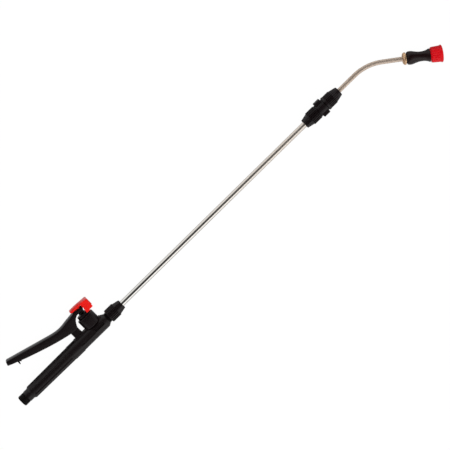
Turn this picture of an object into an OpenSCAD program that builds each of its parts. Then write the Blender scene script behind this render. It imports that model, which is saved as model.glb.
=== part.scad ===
// Telescopic sprayer lance with a trigger shut-off handle.
// X runs from the hose inlet to the nozzle, Y points to the side of the lever, and Z
// points up from the surface that the lance lies on. The origin is the centre of the
// end face of the hose inlet, on the axis of the tubes. Heights are measured along Y.

/* [Tubes] */
// Outside diameter of the outer tube
outer_tube_d = 10; // [9.6:0.1:11]
// Wall of the outer tube
outer_tube_wall = 0.8; // [0.5:0.1:0.8]
// Length of the outer tube between the outlet nut and the lower nut
outer_tube_show = 427; // [250:1:700]
// Outside diameter of the tip tube, which slides in the outer tube
tip_tube_d = 8; // [7:0.1:8]
// Wall of the tip tube
tip_tube_wall = 0.7; // [0.5:0.1:1]
// Straight length of the tip tube past the clamp nut
tip_straight = 36; // [10:0.1:80]
// Radius of the bend, on the axis of the tip tube
bend_r = 83; // [50:1:120]
// Angle of the bend
bend_angle = 36.4; // [10:0.1:60]
// Straight length of the tip tube between the bend and the nozzle
tip_end_len = 35.6; // [15:0.1:60]
// Free length of the outer tube behind the tip tube when it is pushed in
tail_gap = 56; // [20:1:120]

/* [Hose inlet] */
// Outside diameter of the inlet thread
inlet_thread_d = 19.2; // [15:0.1:19.3]
// Length of the inlet thread
inlet_thread_len = 12.5; // [8:0.5:20]
// Bore of the inlet fitting
inlet_bore_d = 8; // [5:0.5:9]
// Diameter of the spigot that screws into the grip
inlet_spigot_d = 14; // [13.5:0.1:15]
// Length of that spigot
inlet_spigot_len = 11; // [9:0.5:16]
// Diameter of the plain neck behind the thread
inlet_neck_d = 19.6; // [19.3:0.1:21]
// Length of that neck
inlet_neck_len = 8; // [5:0.5:12]

/* [Grip] */
// Diameter of the grip at the hose end
grip_d_rear = 23.4; // [22:0.1:26]
// Diameter of the grip at the valve end
grip_d_front = 25.4; // [23:0.1:27]
// Length of the fluted grip
grip_len = 95; // [80:1:130]
// Number of flutes round the grip
flute_count = 8; // [6:1:12]
// Depth of a flute
flute_depth = 1; // [0.4:0.1:1.6]
// Radius of the round cutter that makes a flute
flute_cutter_r = 2.6; // [2:0.1:3.2]
// Diameter of the smooth band in front of the grip
band_d = 26.2; // [25:0.1:28]
// Length of that band
band_len = 21.5; // [10:0.5:30]
// Diameter of the valve housing in front of the band
front_d = 24.8; // [22:0.1:25]
// Length of the valve housing
front_len = 57; // [55:0.5:75]
// Length of the taper between the valve housing and the outlet thread
shoulder_len = 5; // [2:0.5:8]
// Height of the flat deck on the valve housing
deck_h = 12.8; // [12:0.1:14]
// Width of that deck
deck_w = 17; // [15:0.5:20]
// Diameter of the water ways in the handle
water_bore_d = 6; // [4:0.1:6.4]
// Outside diameter of the strainer in the grip
strainer_d = 11; // [9:0.1:11.6]
// Length of the strainer
strainer_len = 52; // [40:1:60]

/* [Lever] */
// Height of the lever pivot over the tube axis
pivot_h = 32; // [30:0.5:34]
// Distance of the lever pivot from the front of the band
pivot_x_offset = 9; // [8:0.5:10]
// Diameter of the pivot pin
pivot_pin_d = 4; // [3:0.1:5]
// Width of the post along the handle
post_len = 14.8; // [11:0.1:15]
// Thickness of the post across the handle
post_t = 13.8; // [10:0.1:14]
// Width of the lever
lever_w = 19; // [18:0.5:21]
// Wall of the lever's channel
lever_wall = 2.2; // [1.6:0.1:2.4]
// Distance of the lever's free end from the pivot
lever_len = 119; // [100:1:125]
// Height of the free end over the pivot
lever_rise = 37.4; // [34:0.2:44]
// Depth of the lever at its free end
lever_end_depth = 11.4; // [8:0.1:13]
// Angle through which the lever is squeezed
lever_swing = 17; // [8:0.5:17]

/* [Valve] */
// Distance of the valve axis from the lever pivot
valve_x_offset = 29.6; // [29:0.1:31]
// Outside diameter of the valve cap
cap_d = 30.8; // [28:0.1:31]
// Height of the lower edge of the cap
cap_base_h = 9.4; // [9:0.1:10.5]
// Height of the top of the cap
cap_top_h = 29.7; // [29:0.1:31]
// Diameter of the gland nut on the cap, which has a flat on each side
gland_d = 23.4; // [21:0.1:24]
// Height of the top of the gland nut
gland_top_h = 35.3; // [33:0.1:36]
// Outside diameter of the threaded boss under the cap
boss_d = 23.6; // [21:0.1:24]
// Diameter of the valve chamber
chamber_d = 17; // [15:0.1:17.6]
// Diameter of the valve stem
stem_d = 6.7; // [5.6:0.1:7]
// Diameter of the stem's head under the cross pin
stem_head_d = 11.2; // [8:0.1:12]
// Height of the cross pin at the top of the stem
stem_pin_h = 44.6; // [44:0.1:46]
// Diameter of the cross pin
stem_pin_d = 3; // [2.4:0.1:3.2]
// Wire diameter of the valve spring
spring_wire_d = 1; // [0.8:0.1:1.2]
// Number of turns of the valve spring
spring_turns = 6; // [4:1:7]

/* [Lock latch] */
// Width of the latch across its cheeks
latch_w = 25.8; // [25:0.1:28]
// Thickness of each cheek
latch_cheek_t = 2; // [1.2:0.1:2]
// Thickness of the plate that the thumb pushes
latch_plate_t = 3.5; // [3:0.1:4.4]
// Length of the tail behind the cross pin
latch_tail = 13.4; // [11:0.1:14]
// Reach of the nose in front of the cross pin
latch_reach = 22.4; // [20:0.1:23]
// Depth of the cheek's foot under the cross pin
latch_foot = 12.2; // [11:0.1:12.6]

/* [Compression nuts] */
// Diameter over the ribs of the nuts
nut_d = 24.4; // [22.8:0.1:25]
// Length of the ribbed part of a nut
nut_rib_len = 17.8; // [16:0.1:22]
// Length of the tapered nose of a nut
nut_nose_len = 12.7; // [11.5:0.1:16]
// Diameter of the nose at its small end
nut_nose_d = 17; // [15.4:0.1:18]
// Number of ribs round a nut
nut_ribs = 24; // [16:1:30]
// Diameter of the threaded necks that the nuts screw on
thread_d = 16; // [15.2:0.1:17]
// Gap between the handle's shoulder and the outlet nut
outlet_gap = 4; // [2:0.5:6]

/* [Coupling] */
// Diameter of the coupling body between its lugs
coupling_core_d = 19.4; // [18:0.1:21]
// Diameter over the lugs
lug_d = 30.2; // [26:0.1:30.6]
// Width of a lug
lug_w = 12.5; // [9:0.1:13]
// Length of the lugs along the tube
lug_len = 12.9; // [8:0.1:16]
// Gap between the lower nut and the lugs
lower_gap = 2.4; // [1.6:0.1:5]
// Gap between the lugs and the clamp nut
clamp_gap = 2; // [1:0.1:4]
// Length of the plain rim of the clamp nut
clamp_rim_len = 4; // [2:0.1:6]
// Length of the clamp nut's straight ribs
clamp_rib_len = 13.5; // [12:0.1:18]
// Length of the clamp nut's taper
clamp_taper_len = 14.4; // [12:0.1:18]

/* [Nozzle] */
// Diameter of the brass collar
collar_d = 21; // [18:0.1:22]
// Length of the brass collar
collar_len = 4.6; // [4:0.1:8]
// Diameter of the nozzle gasket
gasket_d = 16.6; // [14:0.1:17]
// Thickness of the nozzle gasket
gasket_t = 2.1; // [1.5:0.1:3]
// Diameter of the nozzle body's shoulder
nozzle_shoulder_d = 22; // [19:0.1:23]
// Diameter of the nozzle body's waist
nozzle_waist_d = 16; // [14:0.1:17]
// Diameter of the nozzle body's front end
nozzle_front_d = 23; // [20:0.1:23.4]
// Length of the nozzle body
nozzle_body_len = 39; // [34:0.1:46]
// Diameter of the spray cap behind its rim
spray_cap_d = 26.4; // [25:0.1:27]
// Diameter of the spray cap's rim
spray_rim_d = 30; // [28:0.1:30]
// Length of the spray cap
spray_cap_len = 20.5; // [19:0.1:26]
// Number of grip notches round the spray cap
spray_notches = 20; // [12:1:28]
// Diameter of the brass nozzle stem
nozzle_stem_d = 10; // [9.4:0.1:11]
// Diameter of the spray orifice
orifice_d = 1.6; // [0.8:0.1:2.4]

/* [Clearances] */
// Radial clearance of a running fit
fit = 0.06; // [0.04:0.01:0.09]
// Gap between fixed pieces that are seated on each other
seat_gap = 0.05; // [0.03:0.01:0.1]
// Gap between pieces that move past each other
run_gap = 0.3; // [0.2:0.05:0.4]

/* [Hidden] */
$fn = 64;
cut = 1;                                   // how far a cutter runs past the face that it cuts

// Stations along the tube axis
x_neck = inlet_thread_len;
x_grip = x_neck + inlet_neck_len;
x_band = x_grip + grip_len;
x_front = x_band + band_len;
x_shoulder = x_front + front_len;
x_outlet = x_shoulder + shoulder_len;
x_outlet_nut = x_outlet + outlet_gap;
nut_len = nut_rib_len + nut_nose_len;
x_lower_nut = x_outlet_nut + nut_len + outer_tube_show;
x_lower_thread = x_lower_nut + nut_len;
x_lugs = x_lower_thread + lower_gap;
x_lugs_end = x_lugs + lug_len;
x_clamp = x_lugs_end + clamp_gap;
clamp_len = clamp_rim_len + clamp_rib_len + clamp_taper_len;
x_bend = x_clamp + clamp_len + tip_straight;

// Compression fittings: the thread ends here, measured from the ribbed end of the nut
thread_reach = 13;
seal_t = 1.9;
ferrule_len = 7.6;
ferrule_wall = 2.2;
tube_r = outer_tube_d / 2;
tube_bore_r = tube_r - outer_tube_wall;
thread_r = thread_d / 2;
neck_r = thread_r + 1.6;                   // shoulder in front of each thread
tube_insert = 10;                          // length of the outer tube inside each thread
x_tube_start = x_outlet_nut + thread_reach - tube_insert;
x_tube_end = x_lower_thread - thread_reach + tube_insert;

// Tip tube and its tail
tip_r = tip_tube_d / 2;
tip_bore_r = tip_r - tip_tube_wall;
bush_head_len = 6;
bush_spigot_len = 9;
x_tail = x_tube_start + tail_gap;
bend_thinning = 0.03;                      // a bent tube draws in a little
bend_lap = 0.4;                            // how far the straight tube runs into the bend
tip_socket = collar_len + 3.3;             // length of the tip tube inside the nozzle

// Clamp fitting
clamp_thread_end = x_clamp + clamp_rim_len + 9.5;
collet_len = 13;
collet_r = 7.4;
collet_r_end = 5.6;

// Handle
pivot_x = x_front + pivot_x_offset;
valve_x = pivot_x + valve_x_offset;
inlet_seal_t = 1.8;
x_spigot_end = x_neck + inlet_spigot_len;
strainer_room_d = strainer_d + 0.6;
strainer_wall = 1.2;
x_strainer_end = x_spigot_end + inlet_seal_t + strainer_len;

// Valve, with heights along Y
seat_floor_h = -1;
seat_t = 2.5;
poppet_seal_t = 2;
poppet_h = seat_floor_h + seat_t + 0.1;
stem_flange_h = poppet_h + poppet_seal_t;
stem_flange_t = 2.4;
stem_flange_r = 6.2;
boss_top_h = 21.2;
gasket_h = 1;
cap_roof_h = boss_top_h + gasket_h + seat_gap;
gland_floor_h = cap_roof_h + 1.4;
gland_seal_t = 1.8;
gland_spigot_r = 6.4;
chamber_r = chamber_d / 2;
well_r = 2.4;
well_h = -8;
gallery_h = -6.5;
gallery_r = 2;

// The cross pin slides outwards in the lever's slots as the lever lifts the stem
lever_pin_rest = [valve_x_offset, stem_pin_h - pivot_h];
stem_lift = valve_x_offset * sin(lever_swing) + lever_pin_rest[1] * (cos(lever_swing) - 1);
lever_pin_up = turned([valve_x_offset, lever_pin_rest[1] + stem_lift], -lever_swing);
slot_r = stem_pin_d / 2 + 0.35;
prong_wall = 1.3;
prong_inner = lever_w / 2 - lever_wall;
slot_reach = prong_inner + 0.64 * lever_wall;   // the slots stop short of the lever's outer faces
eye_t = 7.4;                               // thickness of the stem's eye across the handle
eye_r = stem_d / 2;
ear_gap = 0.3;
ear_r = 3.5;
stem_head_top = stem_pin_h - ear_r - 0.4;
gland_flats = latch_w - 2 * latch_cheek_t - 0.8;
latch_under = 4.2;                         // height of the latch plate's underside over the pin

// Nozzle, with distances from the back face of the collar along its axis
s_gasket = collar_len + seat_gap;
s_body = s_gasket + gasket_t + seat_gap;
s_front = s_body + nozzle_body_len;
s_cap = s_front + 0.6;
s_rim = s_cap + spray_cap_len;
nozzle_thread_d = nozzle_stem_d + 1;
cap_seal_t = 1.8;
dish_depth = 5;
orifice_t = 2;
s_stem_end = s_rim - dish_depth - orifice_t - 3;
core_len = 5;

function turned(p, a) = [p[0] * cos(a) - p[1] * sin(a), p[0] * sin(a) + p[1] * cos(a)];

// A smooth curve through a list of points, with k steps between neighbours
function blend(a, b, c, d, t) = 0.5 * (2 * b + (c - a) * t + (2 * a - 5 * b + 4 * c - d) * t * t
    + (3 * b - a - 3 * c + d) * t * t * t);
function curve(p, k = 4) = [for (i = [0 : len(p) - 2]) for (j = [0 : (i == len(p) - 2 ? k : k - 1)])
    blend(p[max(i - 1, 0)], p[i], p[i + 1], p[min(i + 2, len(p) - 1)], j / k)];

module on_x(x) { translate([x, 0, 0]) rotate([0, 90, 0]) children(); }
module on_valve(h) { translate([valve_x, h, 0]) rotate([-90, 0, 0]) children(); }
module across(x, y) { translate([x, y, 0]) children(); }
module rod_x(x, l, r) { on_x(x) cylinder(h = l, r = r); }
module cone_x(x, l, r1, r2) { on_x(x) cylinder(h = l, r1 = r1, r2 = r2); }
module rod_z(x, y, w, r) { across(x, y) cylinder(h = w, r = r, center = true); }
module ring(l, r_out, r_in) {
    difference() {
        cylinder(h = l, r = r_out);
        translate([0, 0, -cut]) cylinder(h = l + 2 * cut, r = r_in);
    }
}
module at_nozzle() {
    translate([x_bend, -bend_r, 0]) rotate([0, 0, -bend_angle]) translate([tip_end_len, bend_r, 0])
        rotate([0, 90, 0]) children();
}

// Round seal in the groove between two pieces
module seal_ring(l, r_out, r_in) {
    c = 0.4;
    rotate_extrude() polygon([[r_in, 0], [r_out - c, 0], [r_out, c], [r_out, l - c],
        [r_out - c, l], [r_in, l]]);
}

// ---- Handle ----

module grip_flutes() {
    x_a = x_grip + 7;
    x_b = x_band - 5;
    r_a = grip_d_rear / 2 + (grip_d_front - grip_d_rear) / 2 * (x_a - x_grip) / grip_len;
    r_b = grip_d_rear / 2 + (grip_d_front - grip_d_rear) / 2 * (x_b - x_grip) / grip_len;
    off = flute_cutter_r - flute_depth;
    lean = atan((r_b - r_a) / (x_b - x_a));
    run = norm([x_b - x_a, r_b - r_a]);
    for (i = [0 : flute_count - 1]) rotate([(i + 0.5) * 360 / flute_count, 0, 0])
        translate([x_a, r_a + off, 0]) rotate([0, 0, lean]) {
            rotate([0, 90, 0]) cylinder(h = run, r = flute_cutter_r);
            sphere(r = flute_cutter_r);
            translate([run, 0, 0]) sphere(r = flute_cutter_r);
        }
}

module housing_recesses() {
    groove_w = 6.4;
    groove_depth = 0.6;
    pocket_len = 19;
    pocket_w = 5.5;
    pocket_depth = 1.8;
    pocket_x = valve_x - 4.3;
    side_z = front_d / 2;
    for (side = [-1, 1]) {
        translate([x_front + 1, 0.5 - groove_w / 2, side * side_z - groove_depth])
            cube([pocket_x - x_front - 2.5, groove_w, 2 * groove_depth]);
        translate([pocket_x, 1 - pocket_w / 2, side * side_z - pocket_depth])
            cube([pocket_len, pocket_w, 2 * pocket_depth]);
    }
}

module grip_body() {
    end_chamfer = 3.5;
    deck_setback = 1.5;
    seat_r = cap_d / 2 + run_gap;
    color([0.13, 0.13, 0.14]) difference() {
        union() {
            rod_x(x_neck + seat_gap, inlet_neck_len + cut, inlet_neck_d / 2);
            cone_x(x_grip, end_chamfer, inlet_neck_d / 2, grip_d_rear / 2);
            cone_x(x_grip + end_chamfer, grip_len - end_chamfer, grip_d_rear / 2, grip_d_front / 2);
            rod_x(x_band, band_len, band_d / 2);
            rod_x(x_front, front_len, front_d / 2);
            cone_x(x_shoulder, shoulder_len, front_d / 2, neck_r);
            rod_x(x_outlet, outlet_gap - run_gap, neck_r);
            rod_x(x_outlet, outlet_gap + thread_reach, thread_r);
            translate([x_front, 0, -deck_w / 2]) cube([front_len - deck_setback, deck_h, deck_w]);
            translate([pivot_x - post_len / 2, 0, -post_t / 2]) cube([post_len, pivot_h, post_t]);
            rod_z(pivot_x, pivot_h, post_t, post_len / 2);
        }
        grip_flutes();
        housing_recesses();
        // flat seat under the cap
        on_valve(cap_base_h - run_gap) ring(boss_top_h, seat_r, boss_d / 2);
        // chamber, well and water ways
        on_valve(seat_floor_h) cylinder(h = boss_top_h, r = chamber_r);
        on_valve(well_h) cylinder(h = seat_floor_h - well_h + cut, r = well_r);
        rod_x(x_neck - cut, inlet_spigot_len + inlet_seal_t + cut, inlet_spigot_d / 2 + fit);
        rod_x(x_neck, x_strainer_end - x_neck, strainer_room_d / 2);
        inlet_way();
        outlet_way();
        rod_z(pivot_x, pivot_h, post_t + 2 * cut, pivot_pin_d / 2 + fit);
    }
    color([0.13, 0.13, 0.14]) on_valve(cap_base_h - run_gap - 1)
        ring(boss_top_h - cap_base_h + run_gap + 1, boss_d / 2, chamber_r);
}

module inlet_way() {
    rise = seat_floor_h + seat_t + 5;
    run = valve_x - chamber_r - x_strainer_end;
    translate([x_strainer_end - cut, 0, 0]) rotate([0, 90, atan(rise / run)])
        cylinder(h = run + 4, d = water_bore_d);
}

module outlet_way() {
    run = x_tube_start - valve_x;
    translate([valve_x, gallery_h, 0]) rotate([0, 0, atan(-gallery_h / run)]) rotate([0, 90, 0])
        cylinder(h = run + 2, r = gallery_r);
    rod_x(x_tube_start, tube_insert + cut, tube_r + fit);
}

module inlet_fitting() {
    lip = 0.5;
    color([0.09, 0.09, 0.10]) difference() {
        union() {
            cone_x(0, lip, inlet_thread_d / 2 - lip, inlet_thread_d / 2);
            rod_x(lip, inlet_thread_len - lip, inlet_thread_d / 2);
            rod_x(inlet_thread_len - cut, inlet_spigot_len + cut, inlet_spigot_d / 2);
        }
        rod_x(-cut, inlet_thread_len + inlet_spigot_len + 2 * cut, inlet_bore_d / 2);
    }
}

module inlet_seal() {
    color("dimgray") on_x(x_spigot_end + seat_gap)
        seal_ring(inlet_seal_t - 2 * seat_gap, inlet_spigot_d / 2 - seat_gap, inlet_bore_d / 2);
}

// Moulded strainer: two end rings joined by ribs, closed at the valve end
module strainer() {
    windows = 6;
    window_w = 3.2;
    window_rows = 4;
    end_land = 4;
    pitch = (strainer_len - end_land) / window_rows;
    x_a = x_strainer_end - strainer_len + seat_gap;
    color("whitesmoke") difference() {
        rod_x(x_a, strainer_len - 2 * seat_gap, strainer_d / 2);
        rod_x(x_a - cut, strainer_len - strainer_wall, strainer_d / 2 - strainer_wall);
        rod_x(x_a, strainer_len + cut, water_bore_d / 2 - 1);
        for (row = [0 : window_rows - 1], i = [0 : windows / 2 - 1])
            translate([x_a + end_land + row * pitch, 0, 0]) rotate([i * 360 / windows, 0, 0])
                translate([0, -window_w / 2, -strainer_d])
                    cube([pitch - end_land, window_w, 2 * strainer_d]);
    }
}

module lever_pivot_pin() {
    color("silver") rod_z(pivot_x, pivot_h, lever_w + 0.8, pivot_pin_d / 2);
}

// ---- Lever ----

// Outline points of the lever, measured from its pivot
arm_top = [-45, 18.4];
arm_under = [-37, 0.2];
arm_slope = (lever_rise - arm_top[1]) / (lever_len - 5 + arm_top[0]);
function over_arm(x) = [x, lever_rise - (x + lever_len - 5) * arm_slope];
function under_arm(t, sag) = arm_under
    + t * ([-lever_len + 7, lever_rise - lever_end_depth] - arm_under) - [0, sag];
function lever_top() = concat([over_arm(-lever_len + 5)],
    curve([arm_top, [-31, 14.7], [-20, 12.8], [-11, 12.7], [0, 14.1], [14, 15.5], [22, 15.9]]));
function lever_front() = let (r = slot_r + prong_wall) [
    lever_pin_rest + [0, r], lever_pin_up + [0, r], lever_pin_up + turned([r, 0], 45),
    lever_pin_up + [r, 0], lever_pin_up + turned([r, 0], -45), lever_pin_up - [0, r],
    lever_pin_rest - [0, r + 0.4]];
function lever_bottom() = concat(curve([[20.5, 7.9], [16.2, 5.4], [12.3, 1.2], [8.6, -5.6]]),
    [[7, -7.2], [-4, -7.6]], curve([[-8.5, -6.7], [-21, -3.9], arm_under, under_arm(1 / 3, 0.9), under_arm(2 / 3, 1.1)]),
    [under_arm(1, 0), [-lever_len, lever_rise - lever_end_depth + 3.2], [-lever_len + 2.2, lever_rise - 1.6]]);

function pin_slot() = let (path = lever_pin_up - lever_pin_rest, lean = atan2(path[1], path[0])) concat(
    [for (t = [-90 : 15 : 90]) lever_pin_up + slot_r * [cos(lean + t), sin(lean + t)]],
    [for (t = [90 : 15 : 270]) lever_pin_rest + slot_r * [cos(lean + t), sin(lean + t)]]);

// Hook under the arm, with its root inside the arm's upper wall
module lever_hook() {
    hook_t = 3;
    hook_w = 7.6;
    hook_drop = 19.4;
    tooth_drop = 17;
    root = 0.9;
    x = -lever_len + 16;
    y = over_arm(x)[1];
    translate([pivot_x, pivot_h, -hook_t / 2]) linear_extrude(hook_t)
        polygon([[x, y - root], [x - 0.4, y - hook_drop + 0.6], [x + 1, y - hook_drop], [x + 2.8, y - hook_drop + 5],
            [x + 4.6, y - tooth_drop], [x + 5.8, y - tooth_drop + 0.2], [x + hook_w, y - tooth_drop + 4.2],
            over_arm(x + hook_w) - [0, root]]);
}

module trigger_lever() {
    channel_x = -lever_len + 4;
    past_end = 2 * valve_x_offset;
    color([0.12, 0.12, 0.13]) {
        difference() {
            translate([pivot_x, pivot_h, -lever_w / 2]) linear_extrude(lever_w)
                polygon(concat(lever_top(), lever_front(), lever_bottom()));
            // channel, open towards the grip
            translate([pivot_x, pivot_h, -prong_inner]) linear_extrude(2 * prong_inner)
                polygon(concat([for (p = lever_top()) if (p[0] < 22) p + [3.2, -2.4]],
                    [[past_end, lever_pin_up[1] + slot_r], [past_end, -pivot_h], [channel_x, -pivot_h],
                     [channel_x, lever_rise - 4]]));
            // fork round the stem's eye
            translate([valve_x - 9.5, pivot_h + 4, -prong_inner]) cube([past_end, past_end, 2 * prong_inner]);
            // blind slots for the cross pin
            translate([pivot_x, pivot_h, -slot_reach]) linear_extrude(2 * slot_reach) polygon(pin_slot());
            rod_z(pivot_x, pivot_h, lever_w + 2 * cut, pivot_pin_d / 2 + fit);
        }
        lever_hook();
    }
}

// ---- Valve ----

module valve_seat() {
    color("goldenrod") on_valve(seat_floor_h + seat_gap)
        ring(seat_t - seat_gap, chamber_r - seat_gap, well_r);
}

module valve_cap() {
    lead = 1.2;
    color([0.12, 0.12, 0.13]) difference() {
        union() {
            on_valve(cap_base_h) cylinder(h = cap_top_h - cap_base_h - lead, d = cap_d);
            on_valve(cap_top_h - lead) cylinder(h = lead, r1 = cap_d / 2, r2 = cap_d / 2 - lead);
        }
        on_valve(cap_base_h - cut) cylinder(h = cap_roof_h - cap_base_h + cut, r = boss_d / 2 + fit);
        on_valve(0) cylinder(h = cap_top_h + cut, r = stem_d / 2 + fit);
        on_valve(gland_floor_h) cylinder(h = cap_top_h, r = gland_spigot_r + fit);
    }
}

module cap_gasket() {
    color("dimgray") on_valve(boss_top_h + seat_gap) ring(gasket_h - seat_gap, boss_d / 2 - 0.2, chamber_r + 0.2);
}

module gland_nut() {
    color([0.10, 0.10, 0.11]) difference() {
        union() {
            on_valve(cap_top_h + seat_gap) intersection() {
                cylinder(h = gland_top_h - cap_top_h - seat_gap, d = gland_d);
                translate([-gland_d, -gland_flats / 2, 0]) cube([2 * gland_d, gland_flats, gland_top_h]);
            }
            on_valve(gland_floor_h + gland_seal_t) cylinder(h = cap_top_h - gland_floor_h, r = gland_spigot_r);
        }
        on_valve(0) cylinder(h = gland_top_h + cut, r = stem_d / 2 + fit);
    }
}

module gland_seal() {
    color("dimgray") on_valve(gland_floor_h + seat_gap)
        seal_ring(gland_seal_t - 2 * seat_gap, gland_spigot_r, stem_d / 2 + fit);
}

// Coil spring between the stem's flange and the roof of the cap
module valve_spring() {
    sides = 6;
    steps = 12;
    r = spring_wire_d / 2;
    mean_r = stem_d / 2 + 1.4;
    h_a = stem_flange_h + stem_flange_t + 0.1 + r;
    h_b = cap_roof_h - 0.1 - r;
    count = spring_turns * steps;
    rise = (h_b - h_a) / count;
    slope = atan(rise * steps / (2 * PI * mean_r));
    rings = [for (k = [0 : count]) let (a = k * 360 / steps, h = h_a + k * rise)
        [for (j = [0 : sides - 1]) let (b = j * 360 / sides, q = mean_r + r * cos(b))
            [q * cos(a) + r * sin(b) * sin(slope) * sin(a),
             q * sin(a) - r * sin(b) * sin(slope) * cos(a), h + r * sin(b) * cos(slope)]]];
    points = [for (ring_points = rings) for (p = ring_points) p];
    sides_faces = [for (k = [0 : count - 1]) for (j = [0 : sides - 1])
        let (a = k * sides + j, b = k * sides + (j + 1) % sides) each [[a, a + sides, b], [b, a + sides, b + sides]]];
    caps = [for (j = [1 : sides - 2]) each [[0, j, j + 1], [count * sides, count * sides + j + 1, count * sides + j]]];
    color("silver") on_valve(0) polyhedron(points = points, faces = concat(sides_faces, caps));
}

module valve_stem() {
    color("gainsboro") difference() {
        union() {
            on_valve(stem_flange_h + seat_gap) cylinder(h = stem_flange_t, r = stem_flange_r);
            on_valve(stem_flange_h + seat_gap) cylinder(h = stem_pin_h - stem_flange_h - seat_gap, d = stem_d);
            on_valve(gland_top_h + 0.5) cylinder(h = stem_head_top - gland_top_h - 0.5, d = stem_head_d);
            rod_z(valve_x, stem_pin_h, stem_d, eye_r);
        }
        rod_z(valve_x, stem_pin_h, eye_t + 2, stem_pin_d / 2 + seat_gap / 2);
    }
}

module poppet_seal() {
    color("dimgray") on_valve(poppet_h) cylinder(h = poppet_seal_t, r = stem_flange_r - 0.4);
}

module stem_pin() {
    color("silver") rod_z(valve_x, stem_pin_h, 2 * slot_reach - 0.6, stem_pin_d / 2);
}

// ---- Lock latch ----

// Side outlines of the latch, measured from the cross pin
function latch_plate() = let (top = latch_under + latch_plate_t) concat([[-latch_tail + 0.8, top - 2]],
    curve([[-latch_tail, top - 1], [-10.1, top - 0.2], [0, top], [11.6, top - 1.2], [latch_reach - 1, top - 3]]),
    [[latch_reach, latch_under], [-8.4, latch_under + 0.6], [-latch_tail + 1.4, latch_under + 1.2]]);
function latch_cheek() = let (nose = 1.2, a = latch_reach - 0.4) concat(
    [[a, latch_under + 0.3]],
    [for (t = [0 : 22.5 : 90]) [a - nose + nose * cos(t), -latch_foot + 1.2 + nose - nose * sin(t)]],
    [[14.6, -latch_foot + 1.2], [13.6, -latch_foot], [5.8, -latch_foot], [6.1, -9], [7, -4.1], [8.4, -0.5],
     [9.2, 2.4], [8.2, latch_under + 1]]);

module lock_latch() {
    inner = latch_w / 2 - latch_cheek_t;
    bridge_depth = 5;
    ear_out = prong_inner - ear_gap;
    ear_in = eye_t / 2 + ear_gap;
    color([0.85, 0.10, 0.10]) translate([valve_x, stem_pin_h, 0]) difference() {
        union() {
            // plate
            translate([0, 0, -latch_w / 2]) linear_extrude(latch_w) polygon(latch_plate());
            // cheeks and the bridge that joins them
            for (side = [-1, 1]) translate([0, 0, side * (latch_w / 2 - latch_cheek_t / 2) - latch_cheek_t / 2])
                linear_extrude(latch_cheek_t) polygon(latch_cheek());
            translate([latch_reach - 4.6, latch_under - bridge_depth, -inner - latch_cheek_t / 2])
                cube([3, bridge_depth + 0.5, 2 * inner + latch_cheek_t]);
            // ears on the cross pin
            for (side = [-1, 1]) translate([0, 0, side * (ear_in + ear_out) / 2]) {
                cylinder(h = ear_out - ear_in, r = ear_r, center = true);
                translate([-ear_r, 0, -(ear_out - ear_in) / 2]) cube([2 * ear_r, latch_under + 1, ear_out - ear_in]);
            }
        }
        cylinder(h = latch_w + 2 * cut, r = stem_pin_d / 2 + fit, center = true);
    }
}

// ---- Compression nuts and their inner pieces ----

module rib_cuts(x, l, r_a, r_b, count) {
    cutter_r = 0.95;
    lean = atan((r_a - r_b) / l);
    for (i = [0 : count - 1]) rotate([i * 360 / count, 0, 0]) translate([x, r_a + 0.35, 0])
        rotate([0, 0, -lean]) rotate([0, 90, 0]) cylinder(h = l / cos(lean), r = cutter_r, $fn = 24);
}

// Nut with its ribbed end at X = 0 and its nose towards +X
module compression_nut(phase) {
    r = nut_d / 2;
    nose_r = r - 1;
    land = 1.4;
    groove_w = 5.8;
    groove_depth = 1.3;
    lean = atan((nose_r - nut_nose_d / 2) / nut_nose_len);
    bore_r = thread_r + fit + 0.1;
    cone_end = thread_reach + seal_t + ferrule_len + 0.6;
    difference() {
        union() {
            cone_x(0, land, r - 0.8, r);
            rod_x(land, nut_rib_len - land, r);
            cone_x(nut_rib_len, nut_nose_len, nose_r, nut_nose_d / 2);
        }
        rib_cuts(land, nut_rib_len - land, r, r, nut_ribs);
        for (i = [0 : 3]) rotate([phase + i * 90, 0, 0])
            translate([nut_rib_len, nose_r - groove_depth, -groove_w / 2]) rotate([0, 0, -lean])
                cube([2 * nut_nose_len, 3 * groove_depth, groove_w]);
        rod_x(-cut, thread_reach + seal_t + cut + 0.2, bore_r);
        cone_x(thread_reach + seal_t + 0.2, cone_end - thread_reach - seal_t - 0.2,
            tube_r + ferrule_wall + 0.5, tube_r + ferrule_wall - 0.7);
        rod_x(cone_end - cut, nut_len, tube_r + fit + 0.1);
    }
}

module tube_seal(x) {
    on_x(x + seat_gap) seal_ring(seal_t - 2 * seat_gap, thread_r - 0.6, tube_r + seat_gap);
}

// Split ferrule that bites on the tube, wide end at X = 0
module tube_ferrule() {
    slit = 1;
    difference() {
        cone_x(0, ferrule_len, tube_r + ferrule_wall, tube_r + ferrule_wall - 1.1);
        rod_x(-cut, ferrule_len + 2 * cut, tube_r + seat_gap);
        translate([-cut, 0, -slit / 2]) cube([ferrule_len + 2 * cut, 2 * tube_r, slit]);
    }
}

module outlet_nut() { color([0.12, 0.12, 0.13]) translate([x_outlet_nut, 0, 0]) compression_nut(71.5); }
module outlet_seal() { color("dimgray") tube_seal(x_outlet_nut + thread_reach); }
module outlet_ferrule() {
    color("ivory") translate([x_outlet_nut + thread_reach + seal_t, 0, 0]) tube_ferrule();
}

module outer_tube() {
    color([0.80, 0.80, 0.80]) on_x(x_tube_start + seat_gap)
        ring(x_tube_end - x_tube_start - 2 * seat_gap, tube_r, tube_bore_r);
}

module lower_nut() {
    color([0.12, 0.12, 0.13]) translate([x_lower_thread, 0, 0]) mirror([1, 0, 0]) compression_nut(87);
}
module lower_seal() { color("dimgray") tube_seal(x_lower_thread - thread_reach - seal_t); }
module lower_ferrule() {
    color("ivory") translate([x_lower_thread - thread_reach - seal_t, 0, 0]) mirror([1, 0, 0]) tube_ferrule();
}

// ---- Coupling ----

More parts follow.
